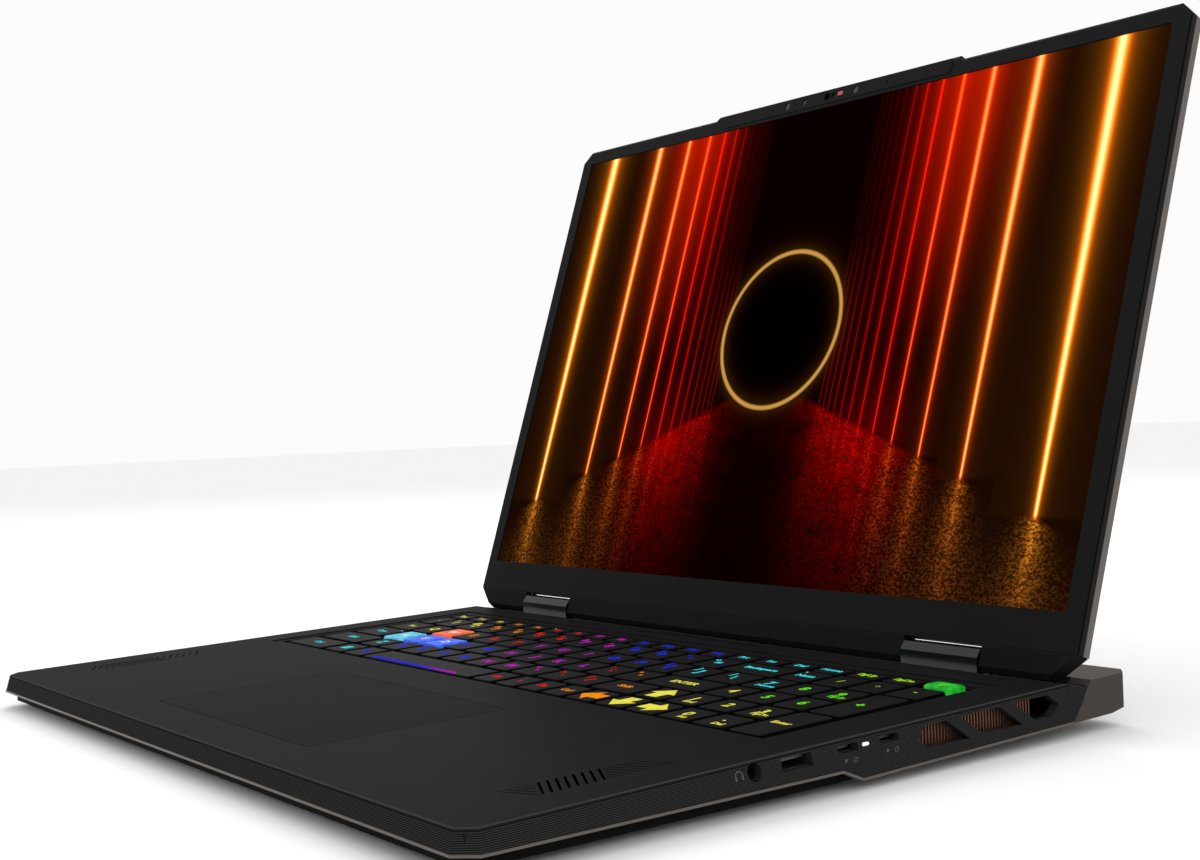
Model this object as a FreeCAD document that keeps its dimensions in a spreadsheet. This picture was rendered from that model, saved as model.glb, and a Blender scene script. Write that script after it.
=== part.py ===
"""Large gaming laptop computer, standing open on a desk.

Part frame: +X to the user's right, +Y away from the user, +Z up, millimetres.
The desk is z = 0 and the origin is under the middle of the open laptop.
The base is wedge shaped, so its deck is tilted.  The base pieces are drawn in the deck's frame
(deck top z = 0, front edge y = 0) and the lid pieces in the lid's frame (x, y backwards, z up along
the lid, origin on the hinge axis).  Placements bring both into the part frame.
"""
import FreeCAD, Part
import math
import os
import Sketcher

Vector = FreeCAD.Vector
doc = FreeCAD.newDocument("laptop")

# ---------------------------------------------------------------- driving dimensions
DIMENSIONS = [
    # wedge and overall position
    ("base_tilt", 1.165, "degrees, deck above desk"),
    ("front_height", 15.3, "front top edge of the deck above the desk"),
    ("origin_back", 179.74, "deck front edge to the part origin"),
    # base casing
    ("deck_width", 400.0, "top face of the deck"),
    ("wall_flare", 2.0, "side walls spread by this towards the rim"),
    ("flare_drop", 7.0, "height over which they spread"),
    ("corner_cut", 5.0, "cut front corners"),
    ("edge_bevel", 0.4, "bevel along the deck's outer edge"),
    ("plate", 1.5, "thickness of the deck plate"),
    ("wall", 1.8, "thickness of casing walls"),
    ("trough_front", 262.3, "front of the hinge trough"),
    ("trough_depth", 3.2, "depth of the hinge trough"),
    ("trough_half", 192.0, "half length of the hinge trough"),
    ("rim_front", 7.0, "trim band below the deck at the front"),
    ("rim_step_front", 144.0, "where the trim band starts to step down"),
    ("rim_step_top", 10.0, "its depth there"),
    ("rim_step_rear", 153.0, "where the step ends"),
    ("rim_rear", 14.1, "its depth towards the rear"),
    ("rim_thick", 0.9, "height of the trim band"),
    ("cover_drop", 12.3, "underside of the bottom cover below the deck front"),
    ("cover_skin", 1.3, "bottom cover thickness"),
    ("base_rear", 303.0, "rear face of the exhaust block"),
    ("rear_half", 201.4, "half width of the exhaust block"),
    ("rear_top", 0.4, "exhaust block top below the deck"),
    ("cap_thick", 1.75, "cap of the exhaust block"),
    # keyboard
    ("well_half", 178.4, "half width of the keyboard well"),
    ("well_front", 130.8, "front of the well"),
    ("well_rear", 241.2, "rear of the well"),
    ("tray_half", 183.0, "shallow step around the well"),
    ("tray_front", 126.7, "front of that step"),
    ("tray_rear", 247.0, "rear of that step"),
    ("tray_depth", 0.5, "its depth"),
    ("key_pitch", 19.05, "key spacing"),
    ("key_top", 0.3, "key tops below the deck"),
    ("key_height", 1.7, "height of a keycap"),
    ("key_travel", 1.5, "key travel"),
    ("plate_top", 3.7, "keyboard plate below the deck"),
    ("plate_skin", 0.8, "keyboard plate thickness"),
    ("stem", 3.0, "side of the square key stem"),
    # touchpad
    ("pad_width", 133.0, "touchpad"),
    ("pad_depth", 82.0, "touchpad"),
    ("pad_front", 21.2, "touchpad front edge"),
    ("pad_thick", 1.6, "touchpad thickness"),
    ("gap", 0.35, "clearance around moving pieces"),
    # hinge and lid
    ("hinge_back", 269.9, "hinge axis behind the deck front"),
    ("hinge_up", 4.3, "hinge axis above the deck"),
    ("lid_lean", 20.02, "degrees, lid behind the deck's normal"),
    ("lid_front", 3.26, "bezel face in front of the hinge axis"),
    ("lid_thick", 7.5, "lid thickness"),
    ("lid_half", 202.0, "half width of the lid"),
    ("lid_bottom", 5.2, "bottom of the lid shells above the axis"),
    ("lid_top", 271.3, "top of the lid above the axis"),
    ("lid_cut", 5.5, "cut top corners"),
    ("bar_half", 83.0, "half width of the camera bar"),
    ("bar_rise", 1.9, "camera bar above the lid top"),
    ("bezel_skin", 0.96, "bezel thickness"),
    ("lid_skin", 1.2, "lid back cover thickness"),
    ("screen_width", 387.7, "active area"),
    ("screen_height", 242.3, "active area"),
    ("screen_bottom", 20.96, "active area above the axis"),
    ("panel_thick", 2.5, "display panel"),
    ("strip_bottom", 5.44, "hinge strip below the axis"),
    ("notch_inner", 117.0, "hinge notch from the middle"),
    ("notch_outer", 157.6, "hinge notch from the middle"),
    ("pin_radius", 1.4, "hinge pin"),
    ("pin_play", 0.06, "running fit of the lid knuckle"),
    ("knuckle_radius", 2.45, "hinge knuckles"),
    # cooling
    ("fan_x", 130.0, "fan centre from the middle"),
    ("fan_y", 205.0, "fan centre from the front"),
    ("fan_size", 84.0, "side of the fan housing"),
    ("fan_bore", 38.5, "fan chamber radius"),
    ("fan_radius", 36.5, "fan wheel radius"),
    ("fan_top", 6.3, "fan housing top below the deck"),
    ("fan_bottom", 14.2, "fan housing bottom below the deck"),
    # boards
    ("board_top", 6.2, "mainboard top below the deck"),
    ("board_thick", 1.4, "mainboard thickness"),
]

sheet = doc.addObject("Spreadsheet::Sheet", "Dimensions")
for number, (alias, value, note) in enumerate(DIMENSIONS, start=1):
    sheet.set("A%d" % number, note)
    sheet.set("B%d" % number, str(value))
    sheet.setAlias("B%d" % number, alias)
doc.recompute()
dim = {alias: float(sheet.get(alias)) for alias, value, note in DIMENSIONS}

SPAN = 600.0            # longer than anything, for cuts that go right through
TILT = FreeCAD.Rotation(Vector(1, 0, 0), dim["base_tilt"])
BASE = FreeCAD.Placement(Vector(0, -dim["origin_back"], dim["front_height"]), TILT)
HINGE = Vector(0, dim["hinge_back"], dim["hinge_up"])
LID = BASE.multiply(FreeCAD.Placement(HINGE, FreeCAD.Rotation(Vector(1, 0, 0), -dim["lid_lean"])))
DESK = FreeCAD.Placement(Vector(0, -dim["origin_back"], 0), FreeCAD.Rotation())

nodes = []              # the objects that are the pieces of the laptop


def piece(thing, label, placement=BASE):
    """Register a finished object as a piece of the laptop, under its own name and place."""
    thing.Label = label
    thing.Placement = placement
    nodes.append(thing)
    return thing


# ---------------------------------------------------------------- sketching helpers
def loop(points):
    """Closed outline as lines and arcs. A point is (a, b) or (a, b, corner radius)."""
    count = len(points)
    starts, ends, curves = [], [], []
    for i, point in enumerate(points):
        corner = Vector(point[0], point[1], 0)
        radius = point[2] if len(point) > 2 else 0.0
        before = Vector(points[i - 1][0], points[i - 1][1], 0) - corner
        after = Vector(points[(i + 1) % count][0], points[(i + 1) % count][1], 0) - corner
        if radius == 0.0:
            starts.append(corner)
            ends.append(corner)
            continue
        half = before.getAngle(after) / 2
        before.normalize()
        after.normalize()
        reach = radius / math.tan(half)
        first, last = corner + before * reach, corner + after * reach
        inward = (before + after).normalize()
        middle = corner + inward * (radius / math.sin(half) - radius)
        starts.append(first)
        ends.append(last)
        curves.append(Part.Arc(first, middle, last))
    for i in range(count):
        if (starts[(i + 1) % count] - ends[i]).Length > 1e-6:
            curves.append(Part.LineSegment(ends[i], starts[(i + 1) % count]))
    return curves


def circle(a, b, radius):
    return [Part.Circle(Vector(a, b, 0), Vector(0, 0, 1), radius)]


def box_loop(a0, a1, b0, b1, radius=0.0):
    return loop([(a0, b0, radius), (a1, b0, radius), (a1, b1, radius), (a0, b1, radius)])


def mirrored(points):
    """The same outline on the other side of the middle plane."""
    return [(-point[0],) + tuple(point[1:]) for point in reversed(points)]


def new_body(name):
    return doc.addObject("PartDesign::Body", name)


def sketch(body, name, plane, loops, offset=0.0):
    """Sketch on one of the body's own planes, moved along the plane's normal."""
    drawn = body.newObject("Sketcher::SketchObject", name)
    origin_plane = [f for f in body.Origin.OriginFeatures if f.Role == plane + "_Plane"][0]
    drawn.AttachmentSupport = [(origin_plane, "")]
    drawn.MapMode = "FlatFace"
    drawn.AttachmentOffset = FreeCAD.Placement(Vector(0, 0, offset), FreeCAD.Rotation())
    for curves in loops:
        drawn.addGeometry(curves, False)
    return drawn


def driven_rectangle(body, name, plane, low_a, low_b, width, height, offset=0.0):
    """Rectangle sketch whose corner and sizes follow expressions of the sheet."""
    drawn = sketch(body, name, plane, [box_loop(0.0, 10.0, 0.0, 10.0)], offset)
    for i in range(4):
        drawn.addConstraint(Sketcher.Constraint("Coincident", i, 2, (i + 1) % 4, 1))
        drawn.addConstraint(Sketcher.Constraint("Horizontal" if i % 2 == 0 else "Vertical", i))
    for kind, ends, text in (("DistanceX", (0, 1, 0, 2), width), ("DistanceY", (1, 1, 1, 2), height),
                             ("DistanceX", (-1, 1, 0, 1), low_a), ("DistanceY", (-1, 1, 0, 1), low_b)):
        index = drawn.addConstraint(Sketcher.Constraint(kind, *ends, 10.0))
        drawn.setExpression("Constraints[%d]" % index, text)
    return drawn


def pad(body, name, drawn, length, symmetric=False, reverse=False):
    feature = body.newObject("PartDesign::Pad", name)
    feature.Profile = drawn
    feature.SideType = "Symmetric" if symmetric else "One side"
    feature.Reversed = reverse
    if isinstance(length, str):
        feature.setExpression("Length", length)
    else:
        feature.Length = length
    return feature


def pocket(body, name, drawn, length, symmetric=False, reverse=False):
    feature = body.newObject("PartDesign::Pocket", name)
    feature.Profile = drawn
    feature.SideType = "Symmetric" if symmetric else "One side"
    feature.Reversed = reverse
    if isinstance(length, str):
        feature.setExpression("Length", length)
    else:
        feature.Length = length
    return feature


def shape_piece(label, shape, placement=BASE):
    """Piece whose shape has no parametric feature of its own."""
    made = doc.addObject("Part::Feature", label)
    made.Shape = shape
    return piece(made, label, placement)


def cut(name, base, tool):
    made = doc.addObject("Part::Cut", name)
    made.Base = base
    made.Tool = tool
    return made


def box_shape(x0, x1, y0, y1, z0, z1):
    return Part.makeBox(x1 - x0, y1 - y0, z1 - z0, Vector(x0, y0, z0))


def rod(radius, length, start, direction):
    return Part.makeCylinder(radius, length, start, direction)


def prism(plane, points, start, end):
    """Outline in a plane, drawn out along the plane's third axis from start to end."""
    if plane == "XY":
        place = [Vector(a, b, start) for a, b in points]
        along = Vector(0, 0, end - start)
    elif plane == "YZ":
        place = [Vector(start, a, b) for a, b in points]
        along = Vector(end - start, 0, 0)
    else:
        place = [Vector(a, start, b) for a, b in points]
        along = Vector(0, end - start, 0)
    return Part.Face(Part.makePolygon(place + place[:1])).extrude(along)


def compound(shapes):
    return Part.makeCompound(shapes)


def both_sides(shape):
    """A shape and its mirror image across the middle plane."""
    return [shape, shape.mirror(Vector(0, 0, 0), Vector(1, 0, 0))]


# ---------------------------------------------------------------- outlines shared by the casings
def deck_outline(spread, rear):
    """Plan of the base at a level where its walls have spread outwards by this much."""
    half = dim["deck_width"] / 2 + spread
    corner = dim["corner_cut"] + spread * (2 - math.sqrt(2))
    return [(-half, rear), (-half, corner - spread), (corner - half, -spread),
            (half - corner, -spread), (half, corner - spread), (half, rear)]


def rim_line(lower):
    """Side view of the trim band's top edge, moved down by a given amount."""
    return [(-10.0, -dim["rim_front"] - lower), (0.0, -dim["rim_front"] - lower),
            (dim["rim_step_front"], -dim["rim_step_top"] - lower),
            (dim["rim_step_rear"], -dim["rim_rear"] - lower)]


def slant(depth):
    """Front boundary of the exhaust block in side view: it leans forward as it goes down."""
    return 277.3 - (depth - 0.5) * 0.85


def level(y):
    """Underside of the bottom cover, parallel to the desk."""
    return -dim["cover_drop"] - y * math.tan(math.radians(dim["base_tilt"]))


def trough_profile(rear):
    front, depth = dim["trough_front"], dim["trough_depth"]
    return [(front, 5.0), (front, -depth), (rear, -depth), (rear, 5.0)]


# ---------------------------------------------------------------- openings in the side walls
AUDIO_JACK = (106.2, -3.7, 3.0)
USB_A_RIGHT = (117.8, 131.2, -6.2, -1.75)
USB_C_PAIR = [(143.0, 152.4, -5.0, -2.1), (162.6, 172.0, -5.0, -2.1)]
STATUS_LIGHT = (156.3, -3.6)
USB_A_LEFT = (143.0, 156.4, -6.2, -1.75)
VENT = {"front": 181.0, "rear": 257.0, "low": -10.4, "high": -2.2, "bar": 7.5, "lean": 11.0}


def vent_loops():
    """Side vent: a long hexagon divided by two slanted bars."""
    low, high, front, rear = VENT["low"], VENT["high"], VENT["front"], VENT["rear"]
    middle = (low + high) / 2
    third = (rear - front - 2 * VENT["bar"]) / 3
    lean = VENT["lean"]
    loops = []
    first = front + third - lean / 2
    loops.append([(front + 4, low), (first + lean, low), (first, high), (front + 4, high), (front, middle)])
    second = first + VENT["bar"]
    third_start = second + third + lean * 0.1
    loops.append([(second + lean, low), (third_start + lean, low), (third_start, high), (second, high)])
    last = third_start + VENT["bar"]
    loops.append([(last + lean, low), (rear - 5, low), (rear, middle), (rear - 5, high), (last, high)])
    return loops


# ---------------------------------------------------------------- speaker slots
SPEAKER = {"inner": 171.1, "outer": 184.1, "first": 68.1, "drop": 7.4, "pitch": 3.26, "count": 8,
           "width": 1.1, "line": 0.7}


def slanted_bar(x0, y0, x1, y1, width):
    return [(x0, y0 - width / 2), (x1, y1 - width / 2), (x1, y1 + width / 2), (x0, y0 + width / 2)]


def speaker_slots():
    inner, outer, drop = SPEAKER["inner"], SPEAKER["outer"], SPEAKER["drop"]
    slots = []
    for i in range(SPEAKER["count"]):
        y = SPEAKER["first"] - i * SPEAKER["pitch"]
        slots.append(slanted_bar(inner, y, outer, y - drop, SPEAKER["width"]))
    return slots


def speaker_lines():
    """Fine engraved lines that run the other way, behind and in front of the slots."""
    inner, outer, drop = SPEAKER["inner"], SPEAKER["outer"], SPEAKER["drop"]
    span = outer - inner
    rise = 6.5
    margin = 1.7
    steep = (rise + drop) / span
    lines = []
    for i in range(8):
        y = 81.6 - 3.4 * i
        crossing = (SPEAKER["first"] + margin - y) / steep
        begin = max(crossing, 0.0)
        if begin < span - 1.5:
            bar_start = (inner + begin, y + rise * begin / span)
            lines.append(slanted_bar(*bar_start, outer, y + rise, SPEAKER["line"]))
    last = SPEAKER["first"] - (SPEAKER["count"] - 1) * SPEAKER["pitch"]
    for i in range(5):
        y = 30.6 + 3.2 * i
        stop = min((last - margin - y) / steep, span)
        if stop > 1.5:
            lines.append(slanted_bar(inner, y, inner + stop, y + rise * stop / span, SPEAKER["line"]))
    return lines


# ---------------------------------------------------------------- palm rest and deck
def palm_rest():
    body = new_body("palm_rest_core")
    edge = dim["edge_bevel"]
    top = sketch(body, "deck_top", "XY", [loop(deck_outline(-edge, 277.5))])
    shoulder_spread = dim["wall_flare"] * edge / dim["flare_drop"]
    shoulder = sketch(body, "deck_shoulder", "XY", [loop(deck_outline(shoulder_spread, 277.5))], -edge)
    flare_outline = loop(deck_outline(dim["wall_flare"], 277.5))
    flared = sketch(body, "deck_flare", "XY", [flare_outline], -dim["flare_drop"])
    loft = body.newObject("PartDesign::AdditiveLoft", "flared_walls")
    loft.Profile = top
    loft.Sections = [shoulder, flared]
    loft.Ruled = True
    walls = sketch(body, "lower_walls", "XY", [flare_outline], -dim["flare_drop"])
    pad(body, "lower_wall_pad", walls, 7.2, reverse=True)
    under = rim_line(0.0) + [(300.0, -dim["rim_rear"]), (300.0, -30.0), (-10.0, -30.0)]
    pocket(body, "rim_cut", sketch(body, "rim_profile", "YZ", [loop(under)]), SPAN, symmetric=True)
    skin, trough = dim["plate"], dim["trough_depth"]
    room = [(1.5, -skin), (260.0, -skin), (260.8, -trough - skin), (300.0, -trough - skin), (300.0, -30.0),
            (1.5, -30.0)]
    pocket(body, "inner_room", sketch(body, "room_profile", "YZ", [loop(room)]),
           "2 * (Dimensions.deck_width / 2 - Dimensions.wall)", symmetric=True)
    post = [(193.7, 1.2), (195.9, 1.2), (198.5, 3.8), (198.5, 6.0)]
    posts = sketch(body, "corner_posts", "XY", [loop(post), loop(mirrored(post))], -1.0)
    pad(body, "front_corner_posts", posts, 5.95, reverse=True)
    pocket(body, "hinge_trough", sketch(body, "trough_profile", "YZ", [loop(trough_profile(300.0))]),
           "2 * Dimensions.trough_half", symmetric=True)
    cheek = [(dim["trough_front"], 5.0), (dim["trough_front"], -0.3), (273.5, -2.4),
             (300.0, -2.4), (300.0, 5.0)]
    pocket(body, "rear_cheek", sketch(body, "cheek_profile", "YZ", [loop(cheek)]), SPAN, symmetric=True)
    beyond = [(slant(-1.0) - 0.05, 1.0), (slant(16.0) - 0.05, -16.0), (310.0, -16.0), (310.0, 1.0)]
    pocket(body, "rear_boundary", sketch(body, "rear_profile", "YZ", [loop(beyond)]), SPAN, symmetric=True)
    tray = driven_rectangle(body, "tray", "XY", "-Dimensions.tray_half", "Dimensions.tray_front",
                            "2 * Dimensions.tray_half", "Dimensions.tray_rear - Dimensions.tray_front")
    pocket(body, "keyboard_tray", tray, "Dimensions.tray_depth")
    well = driven_rectangle(body, "well", "XY", "-Dimensions.well_half", "Dimensions.well_front",
                            "2 * Dimensions.well_half", "Dimensions.well_rear - Dimensions.well_front")
    pocket(body, "keyboard_well", well, "Dimensions.plate + 0.5")
    window = box_loop(-dim["pad_width"] / 2 - dim["gap"], dim["pad_width"] / 2 + dim["gap"],
                      dim["pad_front"] - dim["gap"], dim["pad_front"] + dim["pad_depth"] + dim["gap"], 2.8)
    pocket(body, "touchpad_window", sketch(body, "window", "XY", [window]), "Dimensions.plate + 0.5")
    rest = box_loop(-42.0, 41.0, 254.0, 259.0, 1.0)
    pocket(body, "rear_recess", sketch(body, "recess", "XY", [rest]), "Dimensions.tray_depth")
    slots = speaker_slots()
    slot_loops = [loop(s) for s in slots] + [loop(mirrored(s)) for s in slots]
    pocket(body, "speaker_slots", sketch(body, "slots", "XY", slot_loops), "Dimensions.plate + 0.5")
    lines = speaker_lines()
    line_loops = [loop(s) for s in lines] + [loop(mirrored(s)) for s in lines]
    pocket(body, "speaker_lines", sketch(body, "lines", "XY", line_loops), 0.35)
    y, z, radius = AUDIO_JACK
    right = [circle(y, z, radius), box_loop(*USB_A_RIGHT, 0.4)]
    right += [box_loop(*opening, 1.3) for opening in USB_C_PAIR]
    light_y, light_z = STATUS_LIGHT[0], STATUS_LIGHT[1]
    right.append(loop([(light_y - 2.3, light_z - 0.75, 0.7), (light_y + 1.7, -4.35, 0.7),
                       (light_y + 2.3, -2.85, 0.7), (light_y - 1.7, -2.85, 0.7)]))
    right += [loop(points) for points in vent_loops()]
    pocket(body, "right_openings", sketch(body, "right_wall", "YZ", right, 210.0), 20.0)
    left = [box_loop(*USB_A_LEFT, 0.4)] + [loop(points) for points in vent_loops()]
    pocket(body, "left_openings", sketch(body, "left_wall", "YZ", left, -210.0), 20.0, reverse=True)
    slot_width = box_loop(121.5, 146.5, 266.2, 273.6)
    slot_left = box_loop(-146.5, -121.5, 266.2, 273.6)
    pocket(body, "bracket_slots", sketch(body, "bracket_slot", "XY", [slot_width, slot_left]), 8.0)
    return body


def rib_grooves():
    """Fine level grooves all round the side and front walls."""
    rings = []
    pitch, width, depth = 0.6, 0.28, 0.2
    count = int((dim["rim_rear"] - 1.2) / pitch)
    for i in range(count):
        z = -1.0 - i * pitch
        spread = min(dim["wall_flare"] * -z / dim["flare_drop"], dim["wall_flare"])
        outer = prism("XY", deck_outline(spread + 3.0, 290.0), z - width, z)
        inner = prism("XY", deck_outline(spread - depth, 295.0), z - width - 0.1, z + 0.1)
        rings.append(outer.cut(inner))
    grooves = doc.addObject("Part::Feature", "rib_grooves")
    grooves.Shape = compound(rings)
    return grooves


core = palm_rest()
doc.recompute()
piece(cut("palm_rest_cut", core, rib_grooves()), "palm_rest_deck")


# ---------------------------------------------------------------- trim band, bottom cover, exhaust block
def trim_band():
    """Bright band under the side walls: a side profile cut to a ring in plan."""
    end = -dim["rim_rear"]
    thick = dim["rim_thick"]
    rear = slant(dim["rim_rear"]) - 0.1
    band = rim_line(0.0) + [(rear, end), (rear - 0.85 * thick, end - thick)] + rim_line(thick)[::-1]
    across = prism("YZ", band, -210.0, 210.0)
    flare = dim["wall_flare"]
    ring = prism("XY", deck_outline(flare + 0.2, 320.0), -20.0, 0.0)
    hole = prism("XY", deck_outline(-dim["wall"], 330.0), -21.0, 1.0)
    return across.common(ring.cut(hole))


shape_piece("base_trim_band", trim_band())

INTAKE = {"front": 172.0, "rows": 13, "pitch": 6.0, "slot": 3.2, "length": 15.0, "gap": 3.0, "columns": 5}
SCREWS = [(-180.0, 7.6), (0.0, 7.6), (180.0, 7.6), (-180.0, 104.0), (0.0, 108.5), (180.0, 104.0),
          (-180.0, 254.0), (-60.0, 244.5), (60.0, 244.5), (180.0, 254.0)]


def bottom_cover():
    body = new_body("bottom_cover_core")
    lower = dim["rim_thick"]
    rear = 262.0
    top = [(2.5, -dim["rim_front"] - lower - 0.05),
           (dim["rim_step_front"], -dim["rim_step_top"] - lower - 0.05),
           (dim["rim_step_rear"], -dim["rim_rear"] - lower)]
    side = top + [(rear, -dim["rim_rear"] - lower), (rear, level(rear)), (2.5, level(2.5))]
    pad(body, "pan", sketch(body, "pan_profile", "YZ", [loop(side)]), 2 * 189.0, symmetric=True)
    front = top[:2] + [(148.0, level(148.0)), (2.5, level(2.5))]
    pad(body, "front_pan", sketch(body, "front_profile", "YZ", [loop(front)]), 2 * 197.0, symmetric=True)
    flange = [(143.0, level(143.0)), (143.0, -12.6), (dim["rim_step_rear"], -dim["rim_rear"] - lower + 1.0),
              (rear, -dim["rim_rear"] - lower + 1.0), (rear, -dim["rim_rear"] - lower - 0.2),
              (dim["rim_step_rear"] - 0.5, -dim["rim_rear"] - lower - 0.2)]
    pad(body, "side_flange", sketch(body, "flange_profile", "YZ", [loop(flange)]), 2 * 197.0, symmetric=True)
    skin = dim["cover_skin"]
    room = [(4.3, 0.0), (4.3, level(4.3) + skin), (rear - 1.5, level(rear - 1.5) + skin), (rear - 1.5, 0.0)]
    pocket(body, "pan_room", sketch(body, "room", "YZ", [loop(room)]), 2 * 186.0, symmetric=True)
    side_room = [(4.3, 0.0), (4.3, level(4.3) + skin), (143.0, level(143.0) + skin), (143.0, 0.0)]
    pocket(body, "front_room", sketch(body, "side_room", "YZ", [loop(side_room)]), 2 * 195.0, symmetric=True)
    corner = [(192.0, 0.1), (200.0, 0.1), (200.0, 8.1)]
    corners = sketch(body, "corners", "XY", [loop(corner), loop(mirrored(corner))])
    pocket(body, "front_corners", corners, 30.0)
    slots = []
    for side_sign in (-1, 1):
        for row in range(INTAKE["rows"]):
            y = INTAKE["front"] + row * INTAKE["pitch"]
            for column in range(INTAKE["columns"]):
                shift = INTAKE["length"] / 2 * (row % 2) - 50.0 + column * (INTAKE["length"] + INTAKE["gap"])
                x = side_sign * dim["fan_x"] + shift + 2.0
                slots.append(box_loop(x, x + INTAKE["length"], y, y + INTAKE["slot"], 1.2))
    pocket(body, "intake_slots", sketch(body, "slots", "XY", slots, -25.0), 15.0, reverse=True)
    holes = [circle(x, y, 1.5) for x, y in SCREWS]
    pocket(body, "screw_holes", sketch(body, "holes", "XY", holes, -25.0), 25.0, reverse=True)
    return body


piece(bottom_cover(), "bottom_cover")

EXHAUST = {"inner": 66.0, "outer": 186.0, "low": -11.6, "high": -3.8, "lean": 5.0, "bars": 11, "bar": 2.2}
ETHERNET = (-44.0, -29.0, -12.0, -3.6)
HDMI = (-12.0, 3.6, -9.6, -3.8)
POWER_INLET = (22.0, 36.0, -10.0, -3.8)
BLOCK_CORNER = (5.0, 6.0)


def block_corners(body, name, top, bottom):
    """Cut the two upright rear corners of the exhaust block."""
    half, rear = dim["rear_half"], dim["base_rear"]
    wide, deep = BLOCK_CORNER
    right = [(half - wide, rear), (half + 1.0, rear - deep - deep / wide), (half + 1.0, rear + 1.0),
             (half - wide, rear + 1.0)]
    pocket(body, name, sketch(body, name + "_plan", "XY", [loop(right), loop(mirrored(right))], top),
           top - bottom)


def exhaust_block():
    body = new_body("exhaust_core")
    rear, seam = dim["base_rear"], -dim["rear_top"] - dim["cap_thick"] - 0.05
    low = -dim["rim_rear"] - dim["rim_thick"]
    side = [(slant(-seam), seam), (slant(-low), low), (289.5, low), (rear, -12.9), (rear, seam)]
    pad(body, "block", sketch(body, "side", "YZ", [loop(side)]), "2 * Dimensions.rear_half", symmetric=True)
    pocket(body, "trough", sketch(body, "trough_side", "YZ", [loop(trough_profile(277.8))]),
           "2 * Dimensions.trough_half", symmetric=True)
    room = [(255.0, -4.8), (279.4, -4.8), (279.4, 5.0), (rear - 1.6, 5.0), (rear - 1.6, -12.3),
            (289.2, low + 1.4), (255.0, low + 1.4)]
    pocket(body, "room", sketch(body, "room_side", "YZ", [loop(room)]), "2 * Dimensions.rear_half - 4",
           symmetric=True)
    block_corners(body, "corners", 0.0, -20.0)
    windows = []
    inner, outer = EXHAUST["inner"], EXHAUST["outer"]
    step = (outer - inner + EXHAUST["bar"]) / EXHAUST["bars"]
    for i in range(EXHAUST["bars"]):
        x = inner + i * step
        lean = EXHAUST["lean"] if i < EXHAUST["bars"] - 1 else 0.0
        width = step - EXHAUST["bar"]
        shape = [(x, EXHAUST["low"]), (x + width, EXHAUST["low"]), (x + width + lean, EXHAUST["high"]),
                 (x + lean, EXHAUST["high"])]
        if i == EXHAUST["bars"] - 1:
            shape = [(x, EXHAUST["low"]), (x + width - 3.0, EXHAUST["low"]), (x + width + 2.0, -7.5),
                     (x + width - 1.0, EXHAUST["high"]), (x + EXHAUST["lean"], EXHAUST["high"])]
        windows += [loop(shape), loop(mirrored(shape))]
    windows += [box_loop(*ETHERNET, 0.3), box_loop(*HDMI, 0.4), box_loop(*POWER_INLET, 0.4)]
    pocket(body, "rear_windows", sketch(body, "windows", "XZ", windows, -310.0), 12.0, reverse=True)
    return body


piece(exhaust_block(), "rear_exhaust_block")


def exhaust_cap():
    body = new_body("exhaust_cap_core")
    rear, top, seam = dim["base_rear"], -dim["rear_top"], -dim["rear_top"] - dim["cap_thick"]
    side = [(277.9, top), (rear - 0.8, top), (rear, top - 0.8), (rear, seam), (277.9, seam)]
    pad(body, "cap", sketch(body, "side", "YZ", [loop(side)]), "2 * Dimensions.rear_half", symmetric=True)
    ear = [(slant(-top) + 0.05, top), (278.0, top), (278.0, seam), (slant(-seam) + 0.05, seam)]
    for sign, name in ((1, "right"), (-1, "left")):
        start = dim["trough_half"] + 0.2
        width = dim["rear_half"] - start
        offset = start if sign > 0 else -dim["rear_half"]
        pad(body, name + "_ear", sketch(body, name + "_ear_side", "YZ", [loop(ear)], offset), width)
    block_corners(body, "corners", 1.0, -20.0)
    return body


piece(exhaust_cap(), "rear_exhaust_cap")


def rubber_feet():
    height = dim["front_height"] - dim["cover_drop"] * math.cos(math.radians(dim["base_tilt"])) - 0.01
    feet = []
    places = ((-165.0, -75.0, 12.0, 21.0), (75.0, 165.0, 12.0, 21.0), (-150.0, 150.0, 250.5, 259.5))
    for x0, x1, y0, y1 in places:
        points = loop([(x0, y0, 3.5), (x1, y0, 3.5), (x1, y1, 3.5), (x0, y1, 3.5)])
        wire = Part.Wire(Part.__sortEdges__([c.toShape() for c in points]))
        foot = Part.Face(wire).extrude(Vector(0, 0, height))
        feet.append(foot.makeChamfer(0.5, [e for e in foot.Edges if e.BoundBox.ZMax < 0.01]))
    return compound(feet)


shape_piece("rubber_feet", rubber_feet(), DESK)


# ---------------------------------------------------------------- keyboard
def key_columns(first_centre, count, width):
    """Evenly pitched keys: low and high x of each key top."""
    pitch = dim["key_pitch"]
    centres = [first_centre + i * pitch for i in range(count)]
    return [(centre - width / 2, centre + width / 2) for centre in centres]


KEY_WIDTH = 15.2
LEFT_EDGE, MAIN_EDGE = -175.0, 97.5
ROW_1, ROW_2, ROW_3 = (230.0, 238.5), (210.8, 227.3), (191.3, 207.8)
ROW_4, ROW_5, ROW_6 = (171.8, 188.3), (152.8, 168.8), (133.3, 149.3)
ROWS = {"function": ROW_1, "number": ROW_2, "upper": ROW_3, "home": ROW_4, "lower": ROW_5, "bottom": ROW_6}
NUMPAD = key_columns(109.1, 4, KEY_WIDTH)
FUNCTION_PITCH, FUNCTION_WIDTH = 17.28, 13.3
NUMBER_KEYS = [(LEFT_EDGE, -164.6)] + key_columns(-153.0, 12, KEY_WIDTH)
UPPER_KEYS = key_columns(-143.25, 12, KEY_WIDTH)
HOME_KEYS = key_columns(-138.5, 11, KEY_WIDTH)
LOWER_KEYS = key_columns(-128.5, 10, KEY_WIDTH)
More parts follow.
